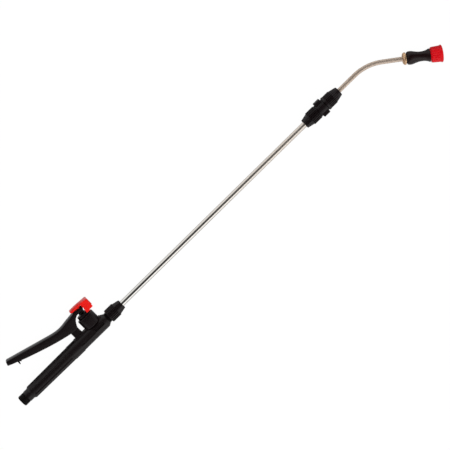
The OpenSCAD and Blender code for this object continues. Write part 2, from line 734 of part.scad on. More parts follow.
module coupling_body() {
    edge = 1.2;
    color([0.12, 0.12, 0.13]) difference() {
        union() {
            rod_x(x_lower_thread - thread_reach, x_lugs - x_lower_thread + thread_reach, thread_r);
            rod_x(x_lower_thread + run_gap, lower_gap - run_gap, neck_r);
            rod_x(x_lugs, lug_len, coupling_core_d / 2);
            rod_x(x_lugs_end, clamp_gap - run_gap, neck_r);
            rod_x(x_lugs_end, clamp_thread_end - x_lugs_end, thread_r);
            intersection() {
                union() {
                    translate([x_lugs, -lug_d / 2, -lug_w / 2]) cube([lug_len, lug_d, lug_w]);
                    translate([x_lugs, -lug_w / 2, -lug_d / 2]) cube([lug_len, lug_w, lug_d]);
                }
                union() {
                    cone_x(x_lugs, edge, lug_d / 2 - edge, lug_d / 2);
                    rod_x(x_lugs + edge, lug_len - 2 * edge, lug_d / 2);
                    cone_x(x_lugs_end - edge, edge, lug_d / 2, lug_d / 2 - edge);
                }
            }
        }
        rod_x(x_lower_thread - thread_reach - cut, tube_insert + cut, tube_r + fit);
        rod_x(x_lower_thread, x_clamp + 20 - x_lower_thread, tip_r + fit + 0.1);
        rod_x(x_lower_thread - 10, 20, tip_r + fit + 0.1);
        rod_x(clamp_thread_end - seal_t, seal_t + cut, tip_r + 1.9);
    }
}

module slide_seal() {
    color("dimgray") on_x(clamp_thread_end - seal_t + seat_gap)
        seal_ring(seal_t - 2 * seat_gap, tip_r + 1.9 - seat_gap, tip_r + fit);
}

// Slotted collet that the clamp nut squeezes on the tip tube
module clamp_collet() {
    slit = 1.2;
    flange = 2;
    color("ivory") translate([clamp_thread_end + seat_gap, 0, 0]) difference() {
        union() {
            rod_x(0, flange, collet_r);
            cone_x(flange, collet_len - flange, collet_r, collet_r_end);
        }
        rod_x(-cut, collet_len + 2 * cut, tip_r + fit);
        for (i = [0 : 1]) rotate([i * 90, 0, 0]) translate([flange + 1, -collet_len, -slit / 2])
            cube([collet_len, 2 * collet_len, slit]);
    }
}

module clamp_nut() {
    r = nut_d / 2;
    rim_r = r + 0.4;
    taper_r = r - 0.7;
    end_r = 8.6;
    round_r = 1.8;
    taper_x = clamp_rim_len + clamp_rib_len;
    collet_x = clamp_thread_end - x_clamp;
    cone_gap = 0.5;
    color([0.12, 0.12, 0.13]) translate([x_clamp, 0, 0]) difference() {
        rotate([0, 90, 0]) rotate([0, 0, 90]) rotate_extrude() polygon(concat(
            [[0, 0], [rim_r - 0.6, 0], [rim_r, 0.6], [rim_r, clamp_rim_len], [r, clamp_rim_len + 0.4], [r, taper_x],
             [taper_r, taper_x + 0.4]],
            [for (t = [0 : 22.5 : 90]) [end_r - round_r + round_r * cos(t), clamp_len - round_r + round_r * sin(t)]],
            [[0, clamp_len]]));
        rib_cuts(clamp_rim_len + 0.8, clamp_rib_len - 0.3, r, r, nut_ribs);
        rib_cuts(taper_x + 0.8, clamp_taper_len - 4, taper_r, end_r + 0.8, nut_ribs);
        rod_x(-cut, collet_x + cut + 2.3, thread_r + fit + 0.1);
        cone_x(collet_x + 2.2, collet_len - 1.6, collet_r + cone_gap, collet_r_end + cone_gap);
        rod_x(clamp_rim_len, clamp_len, tip_r + fit + 0.1);
    }
}

// ---- Sliding tip ----

module tip_path(r, lengthen = 0) {
    rod_x(x_tail - lengthen, x_bend - x_tail + lengthen + bend_lap, r);
    translate([x_bend, -bend_r, 0]) {
        rotate([0, 0, 90 - bend_angle]) rotate_extrude(angle = bend_angle) translate([bend_r, 0])
            circle(r = r - bend_thinning);
        rotate([0, 0, -bend_angle]) translate([0, bend_r, 0])
            rod_x(-bend_lap, tip_end_len + tip_socket + lengthen + bend_lap, r);
    }
}

module tip_tube() {
    color([0.72, 0.68, 0.63]) difference() {
        tip_path(tip_r);
        tip_path(tip_bore_r, cut);
    }
}

// Bush that guides the tail of the tip tube in the outer tube
module tail_bush() {
    color("ivory") difference() {
        union() {
            rod_x(x_tail - bush_head_len - run_gap, bush_head_len, tube_bore_r - fit);
            rod_x(x_tail - run_gap - cut, bush_spigot_len + cut, tip_bore_r - fit);
        }
        rod_x(x_tail - bush_head_len - cut, bush_head_len + bush_spigot_len + 2 * cut, tip_bore_r - 1.1);
    }
}

// ---- Nozzle ----

module brass_collar() {
    bevel = 2.2;
    color([0.72, 0.58, 0.38]) at_nozzle() difference() {
        union() {
            cylinder(h = bevel, r1 = collar_d / 2 - bevel, r2 = collar_d / 2);
            translate([0, 0, bevel]) cylinder(h = collar_len - bevel, d = collar_d);
        }
        translate([0, 0, -cut]) cylinder(h = collar_len + 2 * cut, r = tip_r + seat_gap);
    }
}

module nozzle_gasket() {
    color("dimgray") at_nozzle() translate([0, 0, s_gasket])
        ring(gasket_t, gasket_d / 2, nozzle_stem_d / 2 + seat_gap);
}

module nozzle_stem() {
    color([0.72, 0.58, 0.38]) at_nozzle() difference() {
        union() {
            translate([0, 0, s_gasket]) cylinder(h = s_front - s_gasket, d = nozzle_stem_d);
            translate([0, 0, s_front]) cylinder(h = s_stem_end - s_front, d = nozzle_thread_d);
        }
        translate([0, 0, s_gasket - cut]) cylinder(h = tip_socket - s_gasket + cut + seat_gap, r = tip_r + seat_gap);
        cylinder(h = s_rim, r = 2.5);
        translate([0, 0, s_stem_end - core_len]) cylinder(h = core_len + cut, r = 3.6);
    }
}

module nozzle_body() {
    l = nozzle_body_len;
    a = nozzle_shoulder_d / 2;
    w = nozzle_waist_d / 2;
    f = nozzle_front_d / 2;
    profile = concat([[0, a - 1.3]], curve([[1.4, a - 0.5], [3.4, a - 0.1], [5.4, a], [8.2, a - 0.3],
        [0.3 * l, a - 1.2], [0.42 * l, w + 0.7], [0.55 * l, w], [0.68 * l, w + 0.1], [0.8 * l, w + 0.6],
        [0.9 * l, w + 1.9], [0.97 * l, f - 0.4], [l, f]]));
    color([0.12, 0.12, 0.12]) at_nozzle() translate([0, 0, s_body]) difference() {
        rotate_extrude() polygon(concat([[0, 0]], [for (p = profile) [p[1], p[0]]], [[0, l]]));
        translate([0, 0, -cut]) cylinder(h = l + 2 * cut, r = nozzle_stem_d / 2 + seat_gap);
    }
}

module swirl_core() {
    slot_w = 1;
    color("goldenrod") at_nozzle() translate([0, 0, s_stem_end - core_len + seat_gap]) difference() {
        cylinder(h = core_len, r = 3.55);
        for (i = [0 : 2]) rotate([0, 0, i * 120]) translate([2.4, -slot_w / 2, -cut])
            cube([2, slot_w, core_len + 2 * cut]);
    }
}

module cap_seal() {
    color("dimgray") at_nozzle() translate([0, 0, s_cap + 1.2])
        seal_ring(cap_seal_t, nozzle_thread_d / 2 + 2, nozzle_thread_d / 2 + fit);
}

module spray_cap() {
    l = spray_cap_len;
    r = spray_cap_d / 2;
    rim = spray_rim_d / 2;
    rim_t = 2.2;
    flare = l - rim_t - 2.2;
    notch_r = 1.1;
    thread_bore = nozzle_thread_d / 2 + fit;
    color([0.85, 0.11, 0.12]) at_nozzle() translate([0, 0, s_cap]) difference() {
        rotate_extrude() polygon([[0, 0], [r - 1.2, 0], [r - 0.4, 2.4], [r - 0.1, 6], [r, flare], [rim - 0.5, l - rim_t],
            [rim, l - rim_t + 0.5], [rim, l - 0.6], [rim - 0.6, l], [rim - 1.8, l], [orifice_d + 3.4, l - dish_depth],
            [0, l - dish_depth]]);
        for (i = [0 : spray_notches - 1]) rotate([0, 0, i * 360 / spray_notches])
            translate([r + 0.5, 0, 2.6]) cylinder(h = flare - 3.2, r = notch_r, $fn = 24);
        translate([0, 0, -cut]) cylinder(h = l - dish_depth - orifice_t + cut, r = thread_bore);
        translate([0, 0, -cut]) cylinder(h = 1.2 + cap_seal_t + cut + seat_gap, r = nozzle_thread_d / 2 + 2.05);
        translate([0, 0, l - dish_depth - orifice_t - cut]) cylinder(h = orifice_t + dish_depth, r = 3.2);
    }
}

module orifice_disc() {
    color("gainsboro") at_nozzle() translate([0, 0, s_rim - dish_depth - orifice_t])
        ring(orifice_t, 3.15, orifice_d / 2);
}

grip_body();
inlet_fitting();
inlet_seal();
strainer();
lever_pivot_pin();
trigger_lever();
valve_seat();
valve_cap();
cap_gasket();
gland_nut();
gland_seal();
valve_spring();
valve_stem();
poppet_seal();
stem_pin();
lock_latch();
outlet_nut();
outlet_seal();
outlet_ferrule();
outer_tube();
lower_nut();
lower_seal();
lower_ferrule();
coupling_body();
slide_seal();
clamp_collet();
clamp_nut();
tail_bush();
tip_tube();
brass_collar();
nozzle_gasket();
nozzle_stem();
nozzle_body();
swirl_core();
cap_seal();
spray_cap();
orifice_disc();
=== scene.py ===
import math
import bmesh
import bpy
from mathutils import Matrix, Vector


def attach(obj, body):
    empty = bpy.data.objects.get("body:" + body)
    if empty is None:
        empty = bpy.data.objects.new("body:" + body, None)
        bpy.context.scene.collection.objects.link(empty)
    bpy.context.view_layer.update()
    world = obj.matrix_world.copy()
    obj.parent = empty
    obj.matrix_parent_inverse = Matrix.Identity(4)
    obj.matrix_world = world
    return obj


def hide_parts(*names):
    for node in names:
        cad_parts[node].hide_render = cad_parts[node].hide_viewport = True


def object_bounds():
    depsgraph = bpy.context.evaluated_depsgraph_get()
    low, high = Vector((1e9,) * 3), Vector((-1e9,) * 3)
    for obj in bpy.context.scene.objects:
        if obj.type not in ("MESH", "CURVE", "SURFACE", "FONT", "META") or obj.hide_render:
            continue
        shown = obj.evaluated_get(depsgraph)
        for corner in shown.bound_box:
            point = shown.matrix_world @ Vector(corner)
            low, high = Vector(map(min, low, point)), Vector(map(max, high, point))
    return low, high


# ---- The lance ------------------------------------------------------------
# A telescopic sprayer lance, lying flat. X runs from the hose inlet to the
# nozzle, Y points to the side of the lever and Z is up.
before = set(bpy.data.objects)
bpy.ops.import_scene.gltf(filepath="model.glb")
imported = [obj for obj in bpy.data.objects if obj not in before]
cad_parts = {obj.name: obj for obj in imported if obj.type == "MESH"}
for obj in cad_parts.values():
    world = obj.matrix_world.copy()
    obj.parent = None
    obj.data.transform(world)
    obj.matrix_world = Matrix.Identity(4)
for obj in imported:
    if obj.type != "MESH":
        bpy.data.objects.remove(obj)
cad_box = [list(corner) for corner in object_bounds()]
mm = 0.001

# ---- Camera ---------------------------------------------------------------
# It looks down on the lance from some way off with a long lens, leaning a
# little to the side of the lever, and is rolled so that the lance runs up to
# the right.
roll = math.radians(44.448)
lean = math.radians(10.5)
camera_reach = 4500 * mm
picture_span = 750 * mm
film_width = 36
aim_along, aim_across = 448.2 * mm, -26.8 * mm

right = Vector((math.cos(roll), -math.sin(roll) * math.cos(lean), math.sin(roll) * math.sin(lean)))
up = Vector((math.sin(roll), math.cos(roll) * math.cos(lean), -math.cos(roll) * math.sin(lean)))
back = Vector((0, math.sin(lean), math.cos(lean)))
across = Vector((0, math.cos(lean), -math.sin(lean)))
eye = Vector((aim_along, 0, 0)) + aim_across * across + camera_reach * back

lens = bpy.data.cameras.new("lance_camera")
lens.sensor_width = film_width
lens.lens = film_width * camera_reach / picture_span
lens.clip_start, lens.clip_end = 0.05, 50
camera = bpy.data.objects.new("lance_camera", lens)
bpy.context.collection.objects.link(camera)
turn = Matrix((right, up, back)).transposed().to_4x4()
camera.matrix_world = Matrix.Translation(eye) @ turn
bpy.context.scene.camera = camera
bpy.context.scene.view_settings.view_transform = "Standard"

# ---- Studio ---------------------------------------------------------------
# A bright sky on each side of the lance with a dark strip overhead, two soft
# lamps, and a white table.
strip_middle, strip_half, strip_edge = 13, 18, 56
strip_level, lever_side_level, other_side_level = 0.03, 1.15, 0.8
table_height = cad_box[0][2]
# Metal sees the table greyed near the lance as painted shade for the lance's own shadow, centred 22
# mm off the axis away from the lever
near_table, far_table, painted_shade_middle = 22 * mm, 105 * mm, -22 * mm
near_mirror, far_mirror, camera_share = 0.05, 0.95, 0.92
table_grey, table_strength = 0.5, 1.06

world = bpy.data.worlds.new("studio")
world.use_nodes = True
bpy.context.scene.world = world
sky = world.node_tree
sky.nodes.clear()


def joined(tree, kind, inputs=(), **settings):
    """A new node; inputs gives each socket a value or another node's output."""
    node = tree.nodes.new(kind)
    for name, value in settings.items():
        setattr(node, name, value)
    for socket, value in dict(inputs).items():
        if isinstance(value, bpy.types.NodeSocket):
            tree.links.new(value, node.inputs[socket])
        else:
            node.inputs[socket].default_value = value
    return node


def computed(tree, operation, *values):
    """The result of a Math node."""
    return joined(tree, "ShaderNodeMath", enumerate(values), operation=operation).outputs[0]


def ranged(tree, value, start, end, low=0, high=1, blend="LINEAR"):
    """Maps the values from start to end onto those from low to high."""
    return joined(tree, "ShaderNodeMapRange", {
        "Value": value, "From Min": start, "From Max": end, "To Min": low, "To Max": high},
        interpolation_type=blend).outputs["Result"]


sky_ray = joined(sky, "ShaderNodeLightPath")
sky_place = joined(sky, "ShaderNodeTexCoord")
sky_axes = joined(sky, "ShaderNodeSeparateXYZ", {0: sky_place.outputs["Generated"]})
angle_from_top = computed(sky, "ARCTAN2", sky_axes.outputs["Y"], sky_axes.outputs["Z"])
past_middle = computed(sky, "SUBTRACT", angle_from_top, math.radians(strip_middle))
angle_from_strip = computed(sky, "ABSOLUTE", past_middle)
strip_from, strip_to = math.radians(strip_half), math.radians(strip_edge)
beyond_strip = ranged(sky, angle_from_strip, strip_from, strip_to, blend="SMOOTHSTEP")
side = ranged(sky, sky_axes.outputs["Y"], -0.5, 0.5, other_side_level, lever_side_level)
level = ranged(sky, beyond_strip, 0, 1, strip_level, side)
sky_light = joined(sky, "ShaderNodeBackground", {"Strength": level})
sky_white = joined(sky, "ShaderNodeBackground", {"Color": (1, 1, 1, 1)})
sky_mix = joined(sky, "ShaderNodeMixShader", {
    "Fac": sky_ray.outputs["Is Camera Ray"], 1: sky_light.outputs[0], 2: sky_white.outputs[0]})
joined(sky, "ShaderNodeOutputWorld", {"Surface": sky_mix.outputs[0]})

lamp_target = Vector((0.45, 0, 0))
lamp_length, lamp_width = 2.4, 1.2
lamps = (("key_light", (0.45, -1.5, 1.2), 7, True), ("top_light", (0.45, 0, 1.5), 16, False))
for name, place, power, mirrored in lamps:
    lamp = bpy.data.lights.new(name, "AREA")
    lamp.shape = "RECTANGLE"
    lamp.size, lamp.size_y, lamp.energy = lamp_length, lamp_width, power
    light = bpy.data.objects.new(name, lamp)
    bpy.context.collection.objects.link(light)
    light.location = place
    light.rotation_euler = (lamp_target - Vector(place)).to_track_quat("-Z", "Y").to_euler()
    light.visible_glossy = mirrored

table_corners = ((-6, -6), (7, -6), (7, 6), (-6, 6))
table_mesh = bpy.data.meshes.new("table")
table_mesh.from_pydata([(x, y, table_height) for x, y in table_corners], [], [(0, 1, 2, 3)])
table = bpy.data.objects.new("table", table_mesh)
bpy.context.collection.objects.link(table)
table_white = bpy.data.materials.new("white_table")
table_white.use_nodes = True
tree = table_white.node_tree
tree.nodes.clear()

# The camera sees a white table; metal mirrors it white far out and, as painted shade, greyer close
# to the lance
table_ray = joined(tree, "ShaderNodeLightPath")
table_place = joined(tree, "ShaderNodeTexCoord")
table_axes = joined(tree, "ShaderNodeSeparateXYZ", {0: table_place.outputs["Object"]})
past_grey = computed(tree, "SUBTRACT", table_axes.outputs["Y"], painted_shade_middle)
table_distance = computed(tree, "ABSOLUTE", past_grey)
far_out = ranged(
    tree, table_distance, near_table, far_table, near_mirror, far_mirror, "SMOOTHSTEP")
seen, glossy, through = (table_ray.outputs[name] for name in (
    "Is Camera Ray", "Is Glossy Ray", "Is Transmission Ray"))
mirror_ray = computed(tree, "MAXIMUM", glossy, through)
mirror_share = computed(tree, "MULTIPLY", mirror_ray, far_out)
white_share = computed(tree, "MULTIPLY_ADD", seen, camera_share, mirror_share)
table_matt = joined(tree, "ShaderNodeBsdfDiffuse", {
    "Color": (table_grey, table_grey, table_grey, 1)})
table_glow = joined(tree, "ShaderNodeEmission", {"Strength": table_strength})
table_mix = joined(tree, "ShaderNodeMixShader", {
    "Fac": white_share, 1: table_matt.outputs[0], 2: table_glow.outputs[0]})
joined(tree, "ShaderNodeOutputMaterial", {"Surface": table_mix.outputs[0]})
table_mesh.materials.append(table_white)

# ---- Grip -----------------------------------------------------------------
# The rear of the handle, moulded in black plastic: a neck for the hose inlet,
# a slightly tapered grip with eight rounded flutes, and a smooth band.


def skin(name, rings, hollow=False):
    """A closed mesh over rings of points in millimetres; a hollow one closes on itself."""
    mesh = bmesh.new()
    rows = [[mesh.verts.new(Vector(point) * mm) for point in ring] for ring in rings]
    pairs = list(zip(rows, rows[1:])) + ([(rows[-1], rows[0])] if hollow else [])
    for low, high in pairs:
        count = len(low)
        for i in range(count):
            j = (i + 1) % count
            mesh.faces.new((low[i], low[j], high[j], high[i]))
    if not hollow:
        mesh.faces.new(rows[0][::-1])
        mesh.faces.new(rows[-1])
    bmesh.ops.recalc_face_normals(mesh, faces=mesh.faces)
    data = bpy.data.meshes.new(name)
    mesh.to_mesh(data)
    mesh.free()
    piece = bpy.data.objects.new(name, data)
    bpy.context.collection.objects.link(piece)
    return piece


def around_x(x, radius, count):
    """A ring round the X axis; radius is a number or a function of the angle from +Y."""
    at = radius if callable(radius) else (lambda angle: radius)
    angles = [2 * math.pi * i / count for i in range(count)]
    return [(x, at(a) * math.cos(a), at(a) * math.sin(a)) for a in angles]


def turned(profile, count):
    """Rings from stations on X and radii; a radius may also be a function of the angle."""
    return [around_x(x, radius, count) for x, radius in profile]


def smooth(piece, sharp):
    """Smooth faces, with edges sharper than an angle in degrees kept sharp."""
    piece.data.polygons.foreach_set("use_smooth", [True] * len(piece.data.polygons))
    piece.data.set_sharp_from_angle(angle=math.radians(sharp))


def fit(piece, material, body, node, sharp):
    """Finishes a piece and puts it in the place of a node, on a body."""
    smooth(piece, sharp)
    piece.data.materials.append(material)
    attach(piece, body)
    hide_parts(node)


def finish_nodes(name, base, roughness, metallic=0.0):
    """A material with a Principled shader and object coordinates, to be detailed."""
    material = bpy.data.materials.new(name)
    material.use_nodes = True
    tree = material.node_tree
    shader = tree.nodes["Principled BSDF"]
    shader.inputs["Base Color"].default_value = (*base, 1)
    shader.inputs["Roughness"].default_value = roughness
    shader.inputs["Metallic"].default_value = metallic
    return material, tree, shader, joined(tree, "ShaderNodeTexCoord").outputs["Object"]


def speckle(tree, place, scale, detail=3.0, stretch=(1, 1, 1)):
    """Noise in object space; scale is in grains per metre."""
    mapping = joined(tree, "ShaderNodeMapping", {"Scale": stretch, "Vector": place})
    return joined(tree, "ShaderNodeTexNoise", {
        "Scale": scale, "Detail": detail, "Vector": mapping.outputs[0]}).outputs["Fac"]


def spread(tree, noise, low, high):
    """Maps the range that noise mostly keeps to, to another."""
    return ranged(tree, noise, 0.3, 0.7, low, high)


def detail(tree, shader, patches, dark, light, roughness, height, strength, depth):
    """Joins a shader to its patchy colour, roughness and bump; depth is in metres."""
    colour = joined(tree, "ShaderNodeMix", {
        "Factor": spread(tree, patches, 0, 1), 6: (*dark, 1), 7: (*light, 1)}, data_type="RGBA")
    bump = joined(tree, "ShaderNodeBump", {
        "Strength": strength, "Distance": depth, "Height": height})
    tree.links.new(colour.outputs[2], shader.inputs["Base Color"])
    tree.links.new(roughness, shader.inputs["Roughness"])
    tree.links.new(bump.outputs[0], shader.inputs["Normal"])


plastic_depth = 0.00004


def moulded_plastic(name, dark, light, rough_low, rough_high, grain, gloss=0.27):
    """Injection-moulded plastic with a fine spark-eroded grain and faint flow marks."""
    material, tree, shader, place = finish_nodes(name, light, rough_high)
    flow = speckle(tree, place, 45, 2, (0.35, 1, 1))
    handled = spread(tree, speckle(tree, place, 160, 4), rough_low, rough_high)
    eroded = speckle(tree, place, 2600, 2)
    detail(tree, shader, flow, dark, light, handled, eroded, grain, plastic_depth)
    shader.inputs["Specular IOR Level"].default_value = gloss
    return material


handle_black = moulded_plastic(
    "handle_black", (0.0052, 0.0030, 0.0034), (0.0076, 0.0048, 0.0052), 0.31, 0.39, 0.25)

neck_x, grip_x, band_x, housing_x = 12.55, 20.5, 115.5, 137.0
neck_r, grip_rear_r, grip_front_r, band_r = 10.0, 12.05, 12.8, 13.3
chamfer_len = 3.5
flutes, flute_depth, flute_r, flute_soft = 8, 1.5, 2.0, 0.16
flute_from, flute_to = grip_x + 7, band_x - 5
grip_count = 256


def grip_r(x):
    """Radius of the neck, the chamfer and the taper, without the flutes."""
    if x <= grip_x:
        return neck_r
    if x <= grip_x + chamfer_len:
        return neck_r + (grip_rear_r - neck_r) * (x - grip_x) / chamfer_len
    return grip_rear_r + (grip_front_r - grip_rear_r) * (x - grip_x) / (band_x - grip_x)


def fluted_r(x):
    """Radius with the flutes cut in by round-nosed cutters, their edges eased."""
    body = grip_r(x)
    beyond = max(flute_from - x, x - flute_to, 0)
    if beyond >= flute_r:
        return body
    cutter = math.sqrt(flute_r ** 2 - beyond ** 2)
    centre = body + flute_r - flute_depth

    def at(angle):
        step = 2 * math.pi / flutes
        off = (angle % step) - step / 2
        reach = cutter ** 2 - (centre * math.sin(off)) ** 2
        if reach <= 0:
            return body
        floor = centre * math.cos(off) - math.sqrt(reach)
        blend = min(max((body - floor) / flute_soft, -1), 1)
        if blend >= 1:
            return floor
        return body - flute_soft * (blend + 1) ** 2 / 4
    return at


grip_stations = [neck_x, neck_x + 0.1, neck_x + 0.3, neck_x + 0.6, 16, grip_x - 0.3, grip_x,
                 grip_x + 0.4, grip_x + 1.5, grip_x + 3, grip_x + chamfer_len,
                 grip_x + chamfer_len + 0.5]
grip_stations += [flute_from - 2 + 0.2 * i for i in range(11)]
grip_stations += [flute_from + (flute_to - flute_from) * i / 12 for i in range(1, 12)]
grip_stations += [flute_to + 0.2 * i for i in range(11)]
neck_round = {neck_x: -0.5, neck_x + 0.1: -0.24, neck_x + 0.3: -0.08}
grip_profile = [(x, neck_r + neck_round[x] if x in neck_round else fluted_r(x))
                for x in grip_stations]
seam_r, joint_r = grip_front_r - 0.35, 11.0
grip_profile += [(band_x - 0.5, grip_front_r), (band_x - 0.42, grip_front_r - 0.12),
                 (band_x - 0.35, seam_r), (band_x - 0.1, seam_r), (band_x, seam_r),
                 (band_x, band_r - 0.3), (band_x + 0.09, band_r - 0.09), (band_x + 0.3, band_r),
                 (126, band_r), (housing_x - 0.3, band_r), (housing_x - 0.09, band_r - 0.09),
                 (housing_x, band_r - 0.3), (housing_x, joint_r)]
grip = skin("grip", turned(grip_profile, grip_count))
fit(grip, handle_black, "handle", "grip_body", 38)

# ---- Valve housing --------------------------------------------------------
# The front of the same moulding: a round body with a flat deck, a sunken
# panel and a pocket in each side, a seat for the valve cap and the lever's post.


def settle(piece):
    """Keeps what the modifiers make as the piece's own mesh."""
    graph = bpy.context.evaluated_depsgraph_get()
    made = bpy.data.meshes.new_from_object(piece.evaluated_get(graph))
    piece.modifiers.clear()
    old = piece.data
    piece.data = made
    bpy.data.meshes.remove(old)


def combine(piece, tool, operation):
    """Joins a tool to a piece or cuts it out, and removes the tool."""
    step = piece.modifiers.new("shape", "BOOLEAN")
    step.solver = "EXACT"
    step.operation = operation
    step.object = tool
    settle(piece)
    bpy.data.objects.remove(tool)


def soften(piece, width, segments=3, angle=30):
    """Rounds the edges of a piece."""
    step = piece.modifiers.new("edges", "BEVEL")
    step.width, step.segments = width * mm, segments
    step.limit_method, step.angle_limit = "ANGLE", math.radians(angle)
    step.miter_outer = "MITER_ARC"
    settle(piece)


def arc(x, y, r, degrees):
    """Points on a circle."""
    return [(x + r * math.cos(math.radians(a)), y + r * math.sin(math.radians(a))) for a in degrees]


def slab(name, outline, low, high):
    """A plate with that outline in X and Y, in millimetres, between two heights."""
    return skin(name, [[(x, y, low) for x, y in outline], [(x, y, high) for x, y in outline]])


housing_r, shoulder_x, outlet_x = 12.6, 194.0, 199.0
deck_end, deck_h, deck_half, deck_corner = 192.5, 12.8, 8.5, 1.2
housing_count = 256


def decked(angle):
    """The round body with the flat deck on it, corners eased."""
    side_y, side_z = math.cos(angle), abs(math.sin(angle))
    if side_y <= 0:
        return housing_r
    deck = min(deck_h / side_y, deck_half / side_z if side_z > 1e-6 else 1e9)
    y, z = deck * side_y, deck * side_z
    centre_y, centre_z = deck_h - deck_corner, deck_half - deck_corner
    if y > centre_y and z > centre_z:
        along = centre_y * side_y + centre_z * side_z
        off = centre_y ** 2 + centre_z ** 2 - deck_corner ** 2
        deck = along + math.sqrt(max(along ** 2 - off, 0))
    return max(housing_r, deck)


def deck_eased(angle):
    """The same, with the edge at the deck's end taken off."""
    return decked(angle) - (0.18 if decked(angle) > housing_r + 0.4 else 0)


housing_profile = [(housing_x - 4, joint_r), (housing_x - 4, decked)]
housing_profile += [(x, decked) for x in (housing_x, 150, 165, 180, deck_end - 0.6)]
housing_profile += [(deck_end - 0.18, deck_eased),
                    (deck_end, lambda angle: max(housing_r, decked(angle) - 0.6)),
                    (deck_end, housing_r), (shoulder_x - 0.5, housing_r),
                    (shoulder_x - 0.1, housing_r - 0.05), (shoulder_x + 0.25, housing_r - 0.25),
                    (outlet_x - 1.2, 10.15), (outlet_x - 0.4, 9.7), (outlet_x - 0.1, 9.4),
                    (outlet_x, 9.0)]
housing = skin("valve_housing", turned(housing_profile, housing_count))

panel = (138.0, 169.8, -2.7, 3.7, 11.2)
pocket = (171.3, 190.3, -1.75, 3.75, 9.3)
recess_top, recess_corner = 13.5, 0.7


def recess_tool(name, recess, hand, draft):
    """A block with round corners that widens outwards, to cut a recess in one side."""
    x0, x1, y0, y1, floor = recess
    rings = []
    for height, grow in ((floor, 0), (recess_top, draft * (recess_top - floor))):
        low_x, high_x = x0 - grow + recess_corner, x1 + grow - recess_corner
        low_y, high_y = y0 - grow + recess_corner, y1 + grow - recess_corner
        ring = []
        for x, y, first in ((high_x, high_y, 0), (low_x, high_y, 90),
                            (low_x, low_y, 180), (high_x, low_y, 270)):
            ring += arc(x, y, recess_corner, [first + 22.5 * i for i in range(5)])
        rings.append([(x, y, hand * height) for x, y in ring])
    return skin(name, rings)


for hand in (-1, 1):
    combine(housing, recess_tool("panel_tool", panel, hand, 0.2), "DIFFERENCE")
    combine(housing, recess_tool("pocket_tool", pocket, hand, 0.08), "DIFFERENCE")

valve_x, seat_h, seat_r = 175.6, 9.1, 15.7
seat_ring = arc(valve_x, 0, seat_r, range(0, 360, 3))
seat_tool = skin("seat_tool", [[(x, h, -z) for x, z in seat_ring] for h in (seat_h, 40)])
combine(housing, seat_tool, "DIFFERENCE")

pivot_x, pivot_h, post_half, post_depth = 146.0, 32.0, 7.4, 6.9
foot_r = 1.8
foot_x, foot_h = post_half + foot_r, deck_h + foot_r
post_outline = arc(pivot_x, pivot_h, post_half, range(0, 181, 9))
post_outline += arc(pivot_x - foot_x, foot_h, foot_r, range(0, -81, -16))
post_outline += [(pivot_x - post_half - 1.2, deck_h - 2), (pivot_x + post_half + 1.2, deck_h - 2)]
post_outline += arc(pivot_x + foot_x, foot_h, foot_r, range(260, 179, -16))
post = slab("lever_post", post_outline, -post_depth, post_depth)
soften(post, 0.8, 3, 60)
fit(housing, handle_black, "handle", "grip_body", 40)
fit(post, handle_black, "handle", "grip_body", 35)

# ---- Outlet neck ----------------------------------------------------------
# The end of the same moulding that the outlet nut screws on: a grooved collar against the
# housing, kept dark by its grooves and by painted shade in its finish, and the thread inside the
# nut.
collar_r, collar_end, outlet_end = 9.6, 202.7, 216.0
collar_depth, collar_pitch = 0.9, 1.25
screw_r, screw_depth, screw_pitch = 8.0, 0.75, 2.0
root_share, flank_share = 0.12, 0.7


def thread(crest, depth, pitch, run_out, ends):
    """Radius of a helical thread at a station and an angle; it fades at both ends."""
    def at_station(x):
        fade = min(1, max(0, (x - ends[0]) / run_out), max(0, (ends[1] - x) / run_out))

        def at(angle):
            phase = (x / pitch - angle / (2 * math.pi)) % 1
            wave = 1 - abs(2 * phase - 1)
            wave = min(1, max(0, (wave - root_share) / flank_share))
            wave = wave * wave * (3 - 2 * wave)
            return crest - depth * (1 - wave * fade)
        return at
    return at_station


def threaded(first, last, step, radius):
    """Stations at even steps between two, each with its radius."""
    steps = round((last - first) / step)
    stations = [first + (last - first) * i / steps for i in range(steps + 1)]
    return [(x, radius(x)) for x in stations]


# Threads take a darker, rougher copy of the handle's black; on the outlet neck, part of the
# handle's moulding, that extra darkness is painted shade
thread_black = moulded_plastic(
    "thread_black", (0.0030, 0.0018, 0.0018), (0.0050, 0.0032, 0.0032), 0.5, 0.65, 0.3, 0.16)
grooves = thread(collar_r, collar_depth, collar_pitch, 0.3, (outlet_x + 0.1, collar_end - 0.1))
outlet_thread = thread(screw_r, screw_depth, screw_pitch, 1.2, (collar_end + 0.2, outlet_end))
outlet_profile = [(outlet_x - 0.3, 7.0), (outlet_x - 0.3, 9.0)]
outlet_profile += threaded(outlet_x + 0.05, collar_end - 0.05, 0.18, grooves)
outlet_profile += [(collar_end, 8.9), (collar_end, 7.25)]
outlet_profile += threaded(collar_end + 0.2, outlet_end - 0.3, 0.25, outlet_thread)
outlet_profile += [(outlet_end, 7.0)]
outlet_neck = skin("outlet_neck", turned(outlet_profile, housing_count))
fit(outlet_neck, thread_black, "handle", "grip_body", 50)

# ---- Hose inlet -----------------------------------------------------------
# A black plastic fitting screwed into the rear of the handle, with the thread
# that the union nut of the hose takes and an open bore.
inlet_r, inlet_bore, inlet_neck_r, inlet_len, inlet_round = 9.95, 4.0, 6.9, 23.5, 3.0
inlet_thread_end, inlet_root_r, inlet_count = 12.0, inlet_r - 0.85, 160
inlet_thread = thread(inlet_r, 0.7, 1.9, 1.0, (0.6, inlet_thread_end))


def inlet_at(x):
    """The thread, rounded off towards the open end."""
    drop = inlet_round - math.sqrt(max(0, inlet_round ** 2 - max(0, inlet_round - x) ** 2))
    crest = inlet_thread(x)
    return lambda angle: min(crest(angle), inlet_r - drop)


